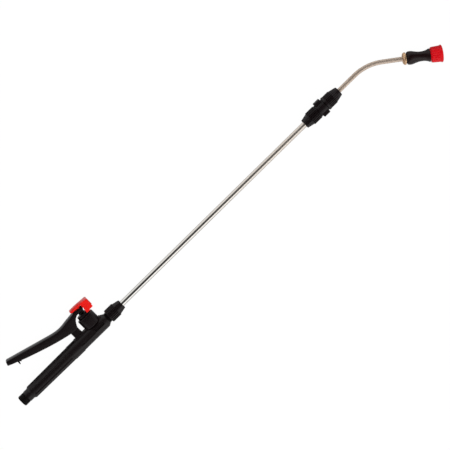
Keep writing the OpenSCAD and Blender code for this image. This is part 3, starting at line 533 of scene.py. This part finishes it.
inlet_profile = [(0.0, inlet_bore + 0.5), (0.0, inlet_r - inlet_round)]
inlet_profile += threaded(0.05, inlet_thread_end, 0.15, inlet_at)
inlet_profile += [(12.05, inlet_root_r), (12.5, inlet_root_r), (12.5, inlet_neck_r),
                  (inlet_len, inlet_neck_r), (inlet_len, inlet_bore), (0.5, inlet_bore)]
inlet = skin("hose_inlet", turned(inlet_profile, inlet_count), hollow=True)
fit(inlet, thread_black, "handle", "inlet_fitting", 50)

# ---- Lever ----------------------------------------------------------------
# A moulded channel that opens towards the grip, forked round the valve stem,
# with a slot in each prong for the cross pin and a small hook near its end.


def curve(points, steps=6):
    """A smooth line through the points."""
    line = []
    for i in range(len(points) - 1):
        last = i == len(points) - 2
        a, b, c = points[max(i - 1, 0)], points[i], points[i + 1]
        d = c if last else points[i + 2]
        for k in range(steps + last):
            t = k / steps
            line.append(tuple(0.5 * (2 * q + (r - p) * t + (2 * p - 5 * q + 4 * r - s) * t * t
                                     + (3 * q - p - 3 * r + s) * t ** 3)
                              for p, q, r, s in zip(a, b, c, d)))
    return line


def turned_by(point, degrees):
    """A point turned round the origin."""
    c, s = math.cos(math.radians(degrees)), math.sin(math.radians(degrees))
    return (point[0] * c - point[1] * s, point[0] * s + point[1] * c)


def at_pivot(line):
    """Points given from the lever's pivot."""
    return [(pivot_x + x, pivot_h + y) for x, y in line]


def crowned(line, reach, crown_at, upper):
    """Rings of an outline across Z, its upper side falling off towards both edges."""
    rings = []
    for share in (-1, -0.9, -0.75, -0.55, -0.3, 0, 0.3, 0.55, 0.75, 0.9, 1):
        fall = abs(share) ** crown_power
        rings.append([(x, y - (crown_at(x) * fall if (x, y) in upper else 0), share * reach)
                      for x, y in line])
    return rings


def lever_crown(x):
    """How far the lever's top falls off at its edges: less over the fork."""
    return lever_fall * min(1, max(0, (pivot_x + 22 - x) / 12))


crown_power, lever_fall = 2.6, 2.2
lever_half, wall_t, lever_swing = 9.5, 2.2, 17
slot_r, prong_r, pin_hole_r, pin_hole_reach = 1.85, 2.8, 2.06, 9.15
hollow_half = lever_half - wall_t
slot_reach = hollow_half + 0.64 * wall_t
pin_x, pin_h = 29.6, 12.6
swing = math.radians(lever_swing)
stem_rise = pin_x * math.sin(swing) + pin_h * (math.cos(swing) - 1)
up_x, up_h = turned_by((pin_x, pin_h + stem_rise), -lever_swing)
slot_lean = math.degrees(math.atan2(up_h - pin_h, up_x - pin_x))

lever_top = [(-114, 37.4)]
lever_top += curve([(-45, 18.4), (-31, 14.7), (-20, 12.8), (-11, 12.7), (0, 14.1), (14, 15.5),
                    (22, 15.9)])
lever_front = [(pin_x, pin_h + prong_r)] + arc(up_x, up_h, prong_r, range(90, -91, -15))
lever_front += [(pin_x, pin_h - prong_r - 0.4)]
lever_under = curve([(20.5, 7.9), (16.2, 5.4), (12.3, 1.2), (8.6, -5.6)])
lever_under += curve([(7, -7.2), (1.5, -7.8), (-4, -7.6)], 3)
lever_under += curve([(-8.5, -6.7), (-21, -3.9), (-37, 0.2), (-62, 7.9), (-87, 16.3)])
lever_under += [(-112, 26), (-119, 29.2), (-116.8, 35.8)]
lever = skin("lever", crowned(at_pivot(lever_top + lever_front + lever_under), lever_half,
                              lever_crown, set(at_pivot(lever_top))))
soften(lever, 1.0, 4, 40)

hollow_line = [(x + 3.2, y - 2.4) for x, y in lever_top if x < 22]
hollow_line += [(60, 13), (60, -30), (-115, -30), (-115, 33.4)]
hollow_tool = slab("hollow_tool", at_pivot(hollow_line), -hollow_half, hollow_half)
soften(hollow_tool, 0.8, 2, 60)
combine(lever, hollow_tool, "DIFFERENCE")
fork_x = valve_x - pivot_x
fork_line = [(fork_x - 9.5, 4), (fork_x + 20, 4), (fork_x + 20, 34), (fork_x - 9.5, 34)]
combine(lever, slab("fork_tool", at_pivot(fork_line), -hollow_half, hollow_half), "DIFFERENCE")
slot_line = arc(up_x, up_h, slot_r, [slot_lean + a for a in range(-90, 91, 15)])
slot_line += arc(pin_x, pin_h, slot_r, [slot_lean + a for a in range(90, 271, 15)])
combine(lever, slab("slot_tool", at_pivot(slot_line), -slot_reach, slot_reach), "DIFFERENCE")
hole_line = arc(pivot_x, pivot_h, pin_hole_r, range(0, 360, 15))
combine(lever, slab("pin_tool", hole_line, -pin_hole_reach, pin_hole_reach), "DIFFERENCE")

hook_line = [(-103, 33.5), (-103.4, 15.6), (-102, 15), (-100.2, 20), (-98.4, 17.4), (-97.2, 17.6),
             (-95.4, 21.6), (-95.4, 31.4)]
hook = slab("lever_hook", at_pivot(hook_line), -1.5, 1.5)
soften(hook, 0.35, 2, 30)
for piece in (lever, hook):
    fit(piece, handle_black, "lever", "trigger_lever", 35)

# ---- Pins -----------------------------------------------------------------
# Turned steel pins with eased ends: one is the lever's pivot in the post, and
# the other joins the lever's fork to the valve stem.


metal_depth = 0.00002


def drawn_metal(name, dark, light, rough_low, rough_high, stretch, lines, grain):
    """Metal with fine lines along the axis that stretch leaves long."""
    material, tree, shader, place = finish_nodes(name, light, rough_high, 1.0)
    stain = speckle(tree, place, 38, 3)
    drawn = speckle(tree, place, lines, 3, stretch)
    worn = spread(tree, drawn, rough_low, rough_high)
    detail(tree, shader, stain, dark, light, worn, drawn, grain, metal_depth)
    return material


def pin(name, x, y, r, half, body, node):
    """A pin across Z with eased ends."""
    ends = [(-half, r - 0.5), (-half + 0.12, r - 0.18), (-half + 0.4, r)]
    profile = ends + [(-z, radius) for z, radius in ends[::-1]]
    rings = [[(u, v, z) for u, v in arc(x, y, radius, range(0, 360, 8))] for z, radius in profile]
    fit(skin(name, rings), pin_steel, body, node, 40)


pin_steel = drawn_metal(
    "pin_steel", (0.035, 0.033, 0.032), (0.055, 0.052, 0.05), 0.3, 0.42, (1, 1, 0.2), 1800, 0.2)
stem_pin_h = pivot_h + pin_h
pivot_pin_r, pivot_pin_half, cross_pin_r, cross_pin_half = 2.0, 8.95, 1.5, slot_reach - 0.3
pin("pivot_pin", pivot_x, pivot_h, pivot_pin_r, pivot_pin_half, "handle", "lever_pivot_pin")
pin("cross_pin", valve_x, stem_pin_h, cross_pin_r, cross_pin_half, "stem", "stem_pin")

# ---- Valve cap, gland nut and stem ----------------------------------------
# The cap screws down over the valve chamber on the flat seat, the gland nut
# on top of it holds the stem's seal, and the steel stem has an eye for the pin.


def risen(profile, count=144):
    """Rings round the valve's upright axis, from heights and radii."""
    return [[(valve_x + x, h, -z) for _, x, z in around_x(0, r, count)] for h, r in profile]


gland_flat, gland_r, stem_hole = 10.5, 11.7, 3.45


def flatted(r):
    """A round with a flat on each side."""
    if r <= gland_flat - 1.4:
        return r
    flat = gland_flat - (gland_r - r)
    return lambda angle: min(r, flat / max(abs(math.sin(angle)), 0.01))


nut_black = moulded_plastic(
    "nut_black", (0.0072, 0.0042, 0.0048), (0.0096, 0.0062, 0.0068), 0.26, 0.34, 0.2)
cap_profile = [(9.4, 11.9), (9.4, 14.7), (9.5, 15.1), (9.8, 15.35), (10.3, 15.4), (20, 15.4),
               (28.3, 15.4), (28.8, 15.3), (29.25, 15.0), (29.55, 14.6), (29.7, 14.0), (29.7, 6.5),
               (23.0, 6.5), (23.0, stem_hole), (22.3, stem_hole), (22.3, 11.9)]
cap = skin("valve_cap_shell", risen(cap_profile), hollow=True)
fit(cap, nut_black, "handle", "valve_cap", 40)
gland_profile = [(25.5, stem_hole), (25.5, 6.4), (29.75, 6.4), (29.75, 11.3), (29.85, 11.55),
                 (30.1, gland_r), (34.6, gland_r), (35.0, 11.6), (35.2, 11.4), (35.3, 11.0),
                 (35.3, 5.2), (35.0, 4.4), (34.8, stem_hole)]
gland = skin("gland_nut_shell", risen([(h, flatted(r)) for h, r in gland_profile]), hollow=True)
fit(gland, nut_black, "handle", "gland_nut", 40)

stem_steel = drawn_metal(
    "stem_steel", (0.04, 0.038, 0.036), (0.065, 0.062, 0.059), 0.28, 0.4, (1, 0.15, 1), 1600, 0.2)
stem_r, eye_r = 3.35, 3.3
stem_profile = [(3.65, 5.9), (3.75, 6.2), (5.9, 6.2), (6.05, 6.0), (6.05, stem_r), (35.8, stem_r),
                (35.8, 5.3), (35.9, 5.5), (36.1, 5.6), (40.3, 5.6), (40.55, 5.5), (40.7, 5.2),
                (40.7, stem_r), (41.2, stem_r - 0.1)]
stem = skin("stem_rod", risen(stem_profile, 64))
eye_line = arc(valve_x, stem_pin_h, eye_r, range(-30, 211, 12))
eye_line += [(valve_x - 2.9, stem_pin_h - 4.2), (valve_x + 2.9, stem_pin_h - 4.2)]
stem_eye = slab("stem_eye", eye_line, -eye_r, eye_r)
soften(stem_eye, 0.4, 2, 40)
for piece in (stem, stem_eye):
    fit(piece, stem_steel, "stem", "valve_stem", 40)

# ---- Lock latch -----------------------------------------------------------
# A glossy red cam that a thumb tips forward: a plate over the lever's fork, a
# cheek on each side of the gland nut, and two ears on the cross pin.
latch_half, cheek_t, nose = 12.9, 2.0, 1.2
plate_under, plate_t, latch_tail, latch_reach, latch_foot = 4.2, 5.0, 13.4, 22.4, 12.2
plate_top, plate_fall = plate_under + plate_t, 2.4
ear_r, ear_inner, ear_outer, latch_bore_r = 3.5, 4.0, 7.0, 1.56
web_back, web_front, web_inner = 7.9, 10.6, 6.4
bridge_back, bridge_front = latch_reach - 4.6, latch_reach - 1.6
plate_line = [(-latch_tail + 0.8, plate_top - 2)]
plate_line += curve([(-latch_tail, plate_top - 1), (-10.1, plate_top - 0.2), (0, plate_top),
                     (11.6, plate_top - 1.2), (latch_reach - 1, plate_top - 3)])
plate_line += [(latch_reach, plate_under), (-8.4, plate_under + 0.6),
               (-latch_tail + 1.4, plate_under + 1.2)]
cheek_line = [(latch_reach - 0.4, plate_under + 0.3)]
cheek_line += arc(latch_reach - 0.4 - nose, nose + 1.2 - latch_foot, nose, range(0, -91, -15))
cheek_line += [(14.6, -latch_foot + 1.2), (13.6, -latch_foot)]
cheek_line += curve([(7.2, -latch_foot), (7.4, -9), (7.9, -4.1), (8.6, -0.5), (9.2, 2.4)], 3)
cheek_line += [(8.2, plate_under + 1)]


def at_pin(line):
    """Points given from the cross pin."""
    return [(valve_x + x, stem_pin_h + y) for x, y in line]


def plate_crown(x):
    """How far the plate's top falls off at its edges: less at the nose and at the tail."""
    from_nose, from_tail = valve_x + latch_reach - 1 - x, x - valve_x + latch_tail
    return plate_fall * min(1, max(0, from_nose / 20), max(0.35, (from_tail + 2) / 8))


def add_plate(name, line, inner, outer, hand):
    """Joins a plate to one side of the latch, between two distances from its middle."""
    low, high = sorted((hand * inner, hand * outer))
    combine(latch, slab(name, at_pin(line), low, high), "UNION")


plate_upper = {(x, y) for x, y in at_pin(plate_line) if y > stem_pin_h + plate_under + 1.3}
latch = skin("lock_latch_plate",
             crowned(at_pin(plate_line), latch_half, plate_crown, plate_upper))
for hand in (-1, 1):
    add_plate("cheek_tool", cheek_line, latch_half - cheek_t, latch_half, hand)
bridge_line = [(bridge_back, plate_under - 5), (bridge_front, plate_under - 5),
               (bridge_front, plate_under + 0.5), (bridge_back, plate_under + 0.5)]
combine(latch, slab("bridge_tool", at_pin(bridge_line), 1 - latch_half, latch_half - 1), "UNION")
ear_line = arc(0, 0, ear_r, range(180, 361, 15))
ear_line += [(ear_r, plate_under + 1), (-ear_r, plate_under + 1)]
web_line = [(web_back, -1.4), (web_front, -1.4), (web_front, plate_under + 0.6),
            (web_back, plate_under + 0.6)]
for hand in (-1, 1):
    add_plate("ear_tool", ear_line, ear_inner, ear_outer, hand)
    add_plate("web_tool", web_line, web_inner, latch_half - cheek_t + 0.4, hand)
bore_line = arc(0, 0, latch_bore_r, range(0, 360, 15))
combine(latch, slab("bore_tool", at_pin(bore_line), -14, 14), "DIFFERENCE")
soften(latch, 0.3, 3, 42)


def glossy_red(name, dark, light, gloss):
    """Glossy red plastic with faint flow marks and a soft orange-peel surface."""
    material, tree, shader, place = finish_nodes(name, light, 0.35)
    flow = speckle(tree, place, 90, 2)
    worn = spread(tree, speckle(tree, place, 240, 3), 0.14, 0.22)
    ripple = speckle(tree, place, 700, 1)
    detail(tree, shader, flow, dark, light, worn, ripple, 0.15, plastic_depth)
    shader.inputs["Specular IOR Level"].default_value = gloss
    return material


latch_red = glossy_red("latch_red", (0.86, 0.012, 0.010), (0.95, 0.020, 0.014), 0.03)
fit(latch, latch_red, "latch", "lock_latch", 25)

# ---- Compression nuts -----------------------------------------------------
# Black moulded nuts with ribs to grip and a nose of four lobes. One holds the
# outer tube in the handle, and the other holds it in the coupling.
nut_r, nose_r, nose_end_r = 12.2, 11.2, 8.5
rib_len, nut_len, rib_count, rib_depth = 17.8, 30.5, 24, 1.5
lobe_half, lobe_depth = 2.9, 2.4
tube_clear_r, screw_clear_r, nut_rear_r = 5.16, 8.2, 9.0
groove_half, nut_count = 1.05, 288


def grooved(r, depth, count, power):
    """A ring with evenly spaced rounded grooves."""
    step = 2 * math.pi / count

    def at(angle):
        off = ((angle + step / 2) % step - step / 2) * r
        groove = max(0.0, 1 - (off / groove_half) ** 2)
        return r - depth * groove ** power
    return at


def ribbed(r, depth):
    """A ring with the grooves that leave a nut's ribs standing."""
    return grooved(r, depth, rib_count, 0.6)


def lobed(r, phase, fade):
    """A ring with four flat-floored grooves between its lobes."""
    def at(angle):
        off = (angle - phase + math.pi / 4) % (math.pi / 2) - math.pi / 4
        side = abs(r * math.sin(off))
        wall = min(1, max(0, (lobe_half + 0.25 - side) / 0.5))
        floor = (r - lobe_depth * fade) / math.cos(off)
        return r + (min(floor, r) - r) * wall * wall * (3 - 2 * wall)
    return at


def nut_profile(phase):
    """Stations and rings of a nut, from its rear to its nose and back along its bore."""
    lean_in = (nose_r - nose_end_r) / (nut_len - rib_len)
    profile = [(0.0, nut_rear_r), (0.0, nut_r - 1.1), (0.1, nut_r - 0.85), (0.9, nut_r - 0.12),
               (1.4, nut_r)]
    profile += [(x, ribbed(nut_r, rib_depth * share)) for x, share in (
        (1.55, 0.0), (1.7, 0.55), (1.95, 0.85), (2.3, 1.0), (9, 1.0), (rib_len - 0.3, 1.0))]
    profile += [(rib_len, ribbed(nut_r - 0.3, 0.35)), (rib_len, nut_r - 0.75)]
    profile += [(x, lobed(nose_r - lean_in * (x - rib_len), phase, fade)) for x, fade in (
        (rib_len + 0.02, 0.9), (rib_len + 0.5, 1), (22, 1), (26, 1), (nut_len - 0.9, 1),
        (nut_len - 0.45, 1))]
    profile += [(nut_len - 0.12, lobed(nose_end_r - 0.22, phase, 1)),
                (nut_len, lobed(nose_end_r - 0.65, phase, 0.75)), (nut_len, 5.5),
                (nut_len - 0.35, tube_clear_r), (22.0, tube_clear_r), (20, screw_clear_r),
                (0.8, screw_clear_r)]
    return profile


for name, node, phase, rear_x, way in (("outlet_nut_shell", "outlet_nut", 71.5, 203.0, 1),
                                       ("lower_nut_shell", "lower_nut", 87.0, 691.0, -1)):
    rings = turned(nut_profile(math.radians(phase)), nut_count)
    rings = [[(rear_x + way * x, y, z) for x, y, z in ring] for ring in rings]
    nut = skin(name, rings, hollow=True)
    fit(nut, nut_black, node, node, 42)

# ---- Outer tube -----------------------------------------------------------
# Polished stainless steel tube, ten millimetres across, from the handle to
# the coupling.
tube_steel = drawn_metal(
    "tube_steel", (0.76, 0.742, 0.71), (0.82, 0.80, 0.765), 0.13, 0.17, (0.02, 1, 1), 2600, 0.04)

# The tube turns a little warmer and softer towards the coupling
warm_from, warm_to, warm_steel, warm_softness = 0.28, 0.62, (0.82, 0.745, 0.67, 1), 0.26
tree = tube_steel.node_tree
shader = tree.nodes["Principled BSDF"]
tube_place = tree.nodes["Texture Coordinate"].outputs["Object"]
along = joined(tree, "ShaderNodeSeparateXYZ", {0: tube_place})
warmth = ranged(tree, along.outputs["X"], warm_from, warm_to)
colour = shader.inputs["Base Color"].links[0].from_socket
softness = shader.inputs["Roughness"].links[0].from_socket
warmer = joined(tree, "ShaderNodeMix", {
    "Factor": warmth, 6: colour, 7: warm_steel}, data_type="RGBA").outputs[2]
softer = computed(tree, "MULTIPLY_ADD", warmth, warm_softness, softness)
tree.links.new(warmer, shader.inputs["Base Color"])
tree.links.new(softer, shader.inputs["Roughness"])

tube_from, tube_to, tube_r, tube_bore, tube_count = 206.05, 687.95, 5.0, 4.2, 128
tube_profile = [(tube_from, tube_bore + 0.2), (tube_from, tube_r - 0.2), (tube_from + 0.2, tube_r)]
tube_profile += [(tube_from + (tube_to - tube_from) * i / 24, tube_r) for i in range(1, 24)]
tube_profile += [(tube_to - 0.2, tube_r), (tube_to, tube_r - 0.2), (tube_to, tube_bore + 0.2),
                 (tube_to - 0.2, tube_bore), (tube_from + 0.2, tube_bore)]
outer_tube = skin("outer_tube_steel", turned(tube_profile, tube_count), hollow=True)
fit(outer_tube, tube_steel, "handle", "outer_tube", 40)

# ---- Coupling -------------------------------------------------------------
# Black moulded body between the lower nut and the clamp nut, with a thread at
# each end and four square lugs to hold it by.
coupling_from, lugs_from, lugs_to, coupling_to = 678.0, 693.4, 706.3, 721.8
core_r, lug_r, lug_half = 9.7, 15.1, 6.25
lower_collar_x, clamp_collar_x, gap_r = 691.3, 708.0, 11.3


def lugged(reach, half):
    """The core with four parallel-sided lugs, their corners eased."""
    def at(angle):
        off = (angle + math.pi / 4) % (math.pi / 2) - math.pi / 4
        side = abs(math.sin(off))
        wall = half / side if side > 1e-6 else 1e9
        if reach * side > half:
            return max(core_r, wall)
        ease = min(1, max(0, (half - reach * side) / 0.7))
        return max(core_r, reach - 0.3 * (1 - ease) ** 2)
    return at


tail_thread = thread(screw_r, screw_depth, screw_pitch, 1.0, (coupling_from, lower_collar_x - 0.2))
neck_thread = thread(screw_r, screw_depth, screw_pitch, 1.0, (clamp_collar_x + 0.2, coupling_to))
lug_ends = ((0.0, 1.2), (0.14, 0.6), (0.5, 0.18), (1.1, 0))
coupling_profile = [(coupling_from, 5.2), (coupling_from, 7.1)]
coupling_profile += threaded(coupling_from + 0.25, lower_collar_x - 0.1, 0.25, tail_thread)
coupling_profile += [(lower_collar_x, 7.25), (lower_collar_x, 10.9), (lower_collar_x + 0.4, gap_r),
                     (lugs_from - 0.2, gap_r), (lugs_from, gap_r - 0.2)]
coupling_profile += [(lugs_from + x, lugged(lug_r - r, lug_half - r)) for x, r in lug_ends]
coupling_profile += [(x, lugged(lug_r, lug_half)) for x in (697, 703)]
coupling_profile += [(lugs_to - x, lugged(lug_r - r, lug_half - r)) for x, r in lug_ends[::-1]]
coupling_profile += [(lugs_to, gap_r - 0.2), (lugs_to + 0.2, gap_r), (clamp_collar_x - 0.4, gap_r),
                     (clamp_collar_x, 10.9), (clamp_collar_x, 7.25)]
coupling_profile += threaded(clamp_collar_x + 0.2, coupling_to - 0.3, 0.25, neck_thread)
coupling_profile += [(coupling_to, 7.0), (coupling_to, 4.2), (688.2, 4.2), (688.2, 5.2)]
coupling = skin("coupling_moulding", turned(coupling_profile, nut_count), hollow=True)
fit(coupling, nut_black, "handle", "coupling_body", 42)

# ---- Clamp nut ------------------------------------------------------------
# Black moulded nut that squeezes a collet on the tip tube: a plain rim, ribs,
# and a ribbed taper with a rounded end.
clamp_x, rim_len, clamp_rib_end, clamp_len = 708.3, 4.0, 17.5, 31.9
rim_r, taper_r, taper_end_r = 12.6, 11.5, 8.8
tip_clear_r, end_round = 4.2, 1.8
clamp_profile = [(0, nut_rear_r), (0, rim_r - 0.6), (0.1, rim_r - 0.3), (0.35, rim_r - 0.08),
                 (0.7, rim_r), (rim_len - 0.4, rim_r), (rim_len - 0.1, rim_r - 0.08),
                 (rim_len + 0.1, rim_r - 0.3), (rim_len + 0.4, nut_r - 0.2)]
clamp_profile += [(x, ribbed(nut_r, rib_depth * share)) for x, share in (
    (rim_len + 0.6, 0.3), (rim_len + 0.9, 0.75), (rim_len + 1.4, 1), (11, 1),
    (clamp_rib_end - 0.3, 1))]
clamp_profile += [(clamp_rib_end, ribbed(nut_r - 0.25, 0.4))]
for x in [clamp_rib_end + 0.15] + [clamp_rib_end + 0.5 + 1.1 * i for i in range(11)]:
    share = (x - clamp_rib_end) / (clamp_len - 2.4 - clamp_rib_end)
    fade = min(1, 1.6 * (1 - share)) if share > 0.4 else 1
    r = taper_r + (taper_end_r - taper_r) * share
    clamp_profile.append((x, ribbed(r, 0.5 * max(0, fade))))
clamp_profile += arc(clamp_len - end_round, 6.8, end_round, (80, 60, 40, 20, 0))
clamp_profile += [(clamp_len, 4.6), (clamp_len - 0.4, tip_clear_r), (27, tip_clear_r),
                  (14, screw_clear_r), (0.8, screw_clear_r)]
clamp = skin("clamp_nut_shell", turned([(clamp_x + x, r) for x, r in clamp_profile], nut_count),
             hollow=True)
fit(clamp, nut_black, "clamp_nut", "clamp_nut", 42)

# ---- Tip tube -------------------------------------------------------------
# Drawn stainless steel tube, eight millimetres across, that slides in the
# outer tube and bends down to the nozzle.
tail_x, bend_x, bend_r, bend_deg = 262.0, 776.2, 83.0, 36.4
tip_end_len, tip_socket = 35.6, 7.9
tip_r, tip_bore, tip_count = 4.0, 3.3, 96
straight_len, bend_len = bend_x - tail_x, bend_r * math.radians(bend_deg)
tip_len = straight_len + bend_len + tip_end_len + tip_socket


def tip_station(s):
    """Point and heading on the tube's axis at a distance from its tail."""
    if s <= straight_len:
        return (tail_x + s, 0.0), 0.0
    a = min((s - straight_len) / bend_r, math.radians(bend_deg))
    rest = max(s - straight_len - bend_len, 0)
    return (bend_x + bend_r * math.sin(a) + rest * math.cos(a),
            bend_r * (math.cos(a) - 1) - rest * math.sin(a)), a


def tip_ring(s, r):
    """A ring across the tube's axis at a distance from its tail."""
    (x, y), heading = tip_station(s)
    return [(x + off * math.sin(heading), y + off * math.cos(heading), z)
            for _, off, z in around_x(0, r, tip_count)]


tip_profile = [(0, tip_bore + 0.2), (0, tip_r - 0.2), (0.2, tip_r)]
tip_profile += [(straight_len * i / 16, tip_r) for i in range(1, 16)]
tip_profile += [(straight_len + bend_len * i / 24, tip_r - 0.03 * math.sin(math.pi * i / 24))
                for i in range(25)]
tip_profile += [(tip_len - tip_end_len - tip_socket + 8, tip_r), (tip_len - tip_end_len, tip_r),
                (tip_len - 0.2, tip_r), (tip_len, tip_r - 0.2), (tip_len, tip_bore + 0.2)]
bore_stations = [0.2] + [straight_len * i / 4 for i in range(1, 4)]
bore_stations += [straight_len + bend_len * i / 12 for i in range(13)]
bore_stations += [tip_len - 10, tip_len - 0.2]
tip_profile += [(s, tip_bore) for s in bore_stations[::-1]]
tip_tube = skin("tip_tube_steel", [tip_ring(s, r) for s, r in tip_profile], hollow=True)
tip_steel = drawn_metal(
    "tip_steel", (0.76, 0.63, 0.525), (0.84, 0.71, 0.605), 0.60, 0.68, (0.03, 0.6, 1), 2400, 0.05)
fit(tip_tube, tip_steel, "tip", "tip_tube", 40)

# ---- Nozzle collar, gasket and stem ---------------------------------------
# A turned brass collar on the end of the tip tube, a black gasket, and the
# brass stem that runs through the nozzle's body to the spray cap.
(nozzle_x, nozzle_y), nozzle_heading = tip_station(tip_len - tip_socket)


def nozzle_piece(name, profile, material, node, body="tip", count=144, sharp=40):
    """A turned piece whose stations run from the back of the brass collar."""
    c, s = math.cos(nozzle_heading), math.sin(nozzle_heading)
    rings = [[(nozzle_x + x * c + y * s, nozzle_y - x * s + y * c, z) for x, y, z in ring]
             for ring in turned(profile, count)]
    fit(skin(name, rings, hollow=True), material, body, node, sharp)


brass = drawn_metal(
    "brass", (0.78, 0.50, 0.29), (0.88, 0.60, 0.37), 0.42, 0.54, (1, 1, 1), 1500, 0.2)
rubber_black = moulded_plastic(
    "rubber_black", (0.006, 0.006, 0.006), (0.011, 0.011, 0.011), 0.6, 0.75, 0.5)
socket_r, stem_tube_r, stem_tube_bore = 4.05, 5.0, 2.5
nozzle_piece("nozzle_collar", [
    (0.0, 4.4), (0.0, 8.1), (0.1, 8.4), (1.9, 10.2), (2.1, 10.4), (2.4, 10.5), (4.2, 10.5),
    (4.45, 10.42), (4.6, 10.2), (4.6, socket_r), (0.35, socket_r)], brass, "brass_collar")
nozzle_piece("nozzle_gasket_ring", [
    (4.65, 5.1), (4.65, 8.0), (4.85, 8.3), (6.55, 8.3), (6.75, 8.0), (6.75, 5.1)],
    rubber_black, "nozzle_gasket")
nozzle_piece("nozzle_stem_brass", [
    (4.7, socket_r), (4.7, stem_tube_r), (45.8, stem_tube_r), (45.8, 5.45), (56.5, 5.45),
    (56.9, 5.1), (56.9, 3.6), (51.9, 3.6), (51.9, stem_tube_bore), (8.0, stem_tube_bore),
    (8.0, socket_r)], brass, "nozzle_stem")

# ---- Nozzle body ----------------------------------------------------------
# Smooth black moulding that the hand turns the nozzle by, with a rounded
# shoulder, a waist and a flared front.
nozzle_black = moulded_plastic(
    "nozzle_black", (0.0080, 0.0020, 0.0024), (0.0105, 0.0036, 0.0038), 0.28, 0.38, 0.2)
body_x, body_len, body_bore = 6.8, 39.0, 5.2
body_profile = [(0.0, body_bore), (0.0, 9.1), (0.1, 9.5), (0.3, 9.8)]
body_profile += curve([(0.7, 10.3), (1.4, 10.75), (3.4, 11.3), (5.4, 11.45), (8.2, 11.25),
                       (11.7, 10.45), (16.4, 9.25), (21.5, 8.4), (26.5, 8.3), (31.2, 8.8),
                       (35.1, 9.9), (37.8, 11.1), (body_len - 0.35, 11.38)])
body_profile += [(body_len - 0.1, 11.36), (body_len, 11.15), (body_len, body_bore)]
nozzle_piece("nozzle_body_moulding", [(body_x + x, r) for x, r in body_profile],
             nozzle_black, "nozzle_body")

# ---- Spray cap ------------------------------------------------------------
# Glossy red cap that turns to set the spray, with grip notches, a flared rim
# and a dished front round the steel orifice disc.
spray_x, notches, cap_rim_r, cap_bore, cap_seat_r = 46.4, 20, 14.86, 5.56, 7.5
cap_red = glossy_red("cap_red", (0.72, 0.004, 0.010), (0.84, 0.008, 0.015), 0.14)
spray_profile = [(0, 7.6), (0, 9.9), (0.1, 10.1), (1.3, 10.1), (1.4, 10.3), (1.45, 12.0),
                 (1.6, 12.4), (1.9, 12.65), (2.2, 12.8)]
spray_profile += [(x, grooved(r, depth, notches, 0.75)) for x, r, depth in (
    (2.5, 12.95, 0.1), (2.8, 13.05, 0.45), (3.4, 13.2, 0.72), (6, 13.4, 0.75), (12, 13.65, 0.75),
    (14.6, 13.75, 0.75), (15.2, 13.78, 0.5), (15.6, 13.82, 0.15))]
spray_profile += [(16.1, 13.86), (16.8, 14.0), (17.6, 14.3), (18.3, 14.6), (18.6, 14.75),
                  (18.9, cap_rim_r), (19.8, cap_rim_r), (20.2, 14.72), (20.5, 14.36), (20.5, 13.5),
                  (20.3, 13.15), (16.2, 5.6), (15.7, 5.0), (15.5, 4.5), (15.5, 3.2), (13.5, 3.2),
                  (13.5, cap_bore), (3.05, cap_bore), (3.05, cap_seat_r), (0.2, cap_seat_r)]
nozzle_piece("spray_cap_moulding", [(spray_x + x, r) for x, r in spray_profile],
             cap_red, "spray_cap", "spray_cap", 240, 42)
nozzle_piece("orifice_plate", [
    (59.9, 0.95), (59.9, 3.1), (61.7, 3.1), (61.9, 2.95), (61.9, 1.3), (61.6, 0.8), (60.1, 0.8)],
    tube_steel, "orifice_disc", "spray_cap", 96)

# ---- Inner pieces ---------------------------------------------------------
# Seals, ferrules, collet, bush, strainer, seat, spring and swirl core sit inside
# and keep their exact shapes; each gets the finish of what it is made of.
white_plastic = moulded_plastic(
    "white_plastic", (0.72, 0.70, 0.63), (0.82, 0.80, 0.74), 0.4, 0.5, 0.25)
spring_steel = drawn_metal(
    "spring_steel", (0.50, 0.49, 0.47), (0.62, 0.61, 0.58), 0.25, 0.35, (1, 0.4, 1), 1800, 0.2)
inner_finish = {
    rubber_black: ("inlet_seal", "cap_gasket", "gland_seal", "poppet_seal",
                   "outlet_seal", "lower_seal", "slide_seal", "cap_seal"),
    white_plastic: ("strainer", "outlet_ferrule", "lower_ferrule", "clamp_collet", "tail_bush"),
    brass: ("valve_seat", "swirl_core"),
    spring_steel: ("valve_spring",),
}
for finish, nodes in inner_finish.items():
    for node in nodes:
        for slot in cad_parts[node].material_slots:
            slot.material = finish
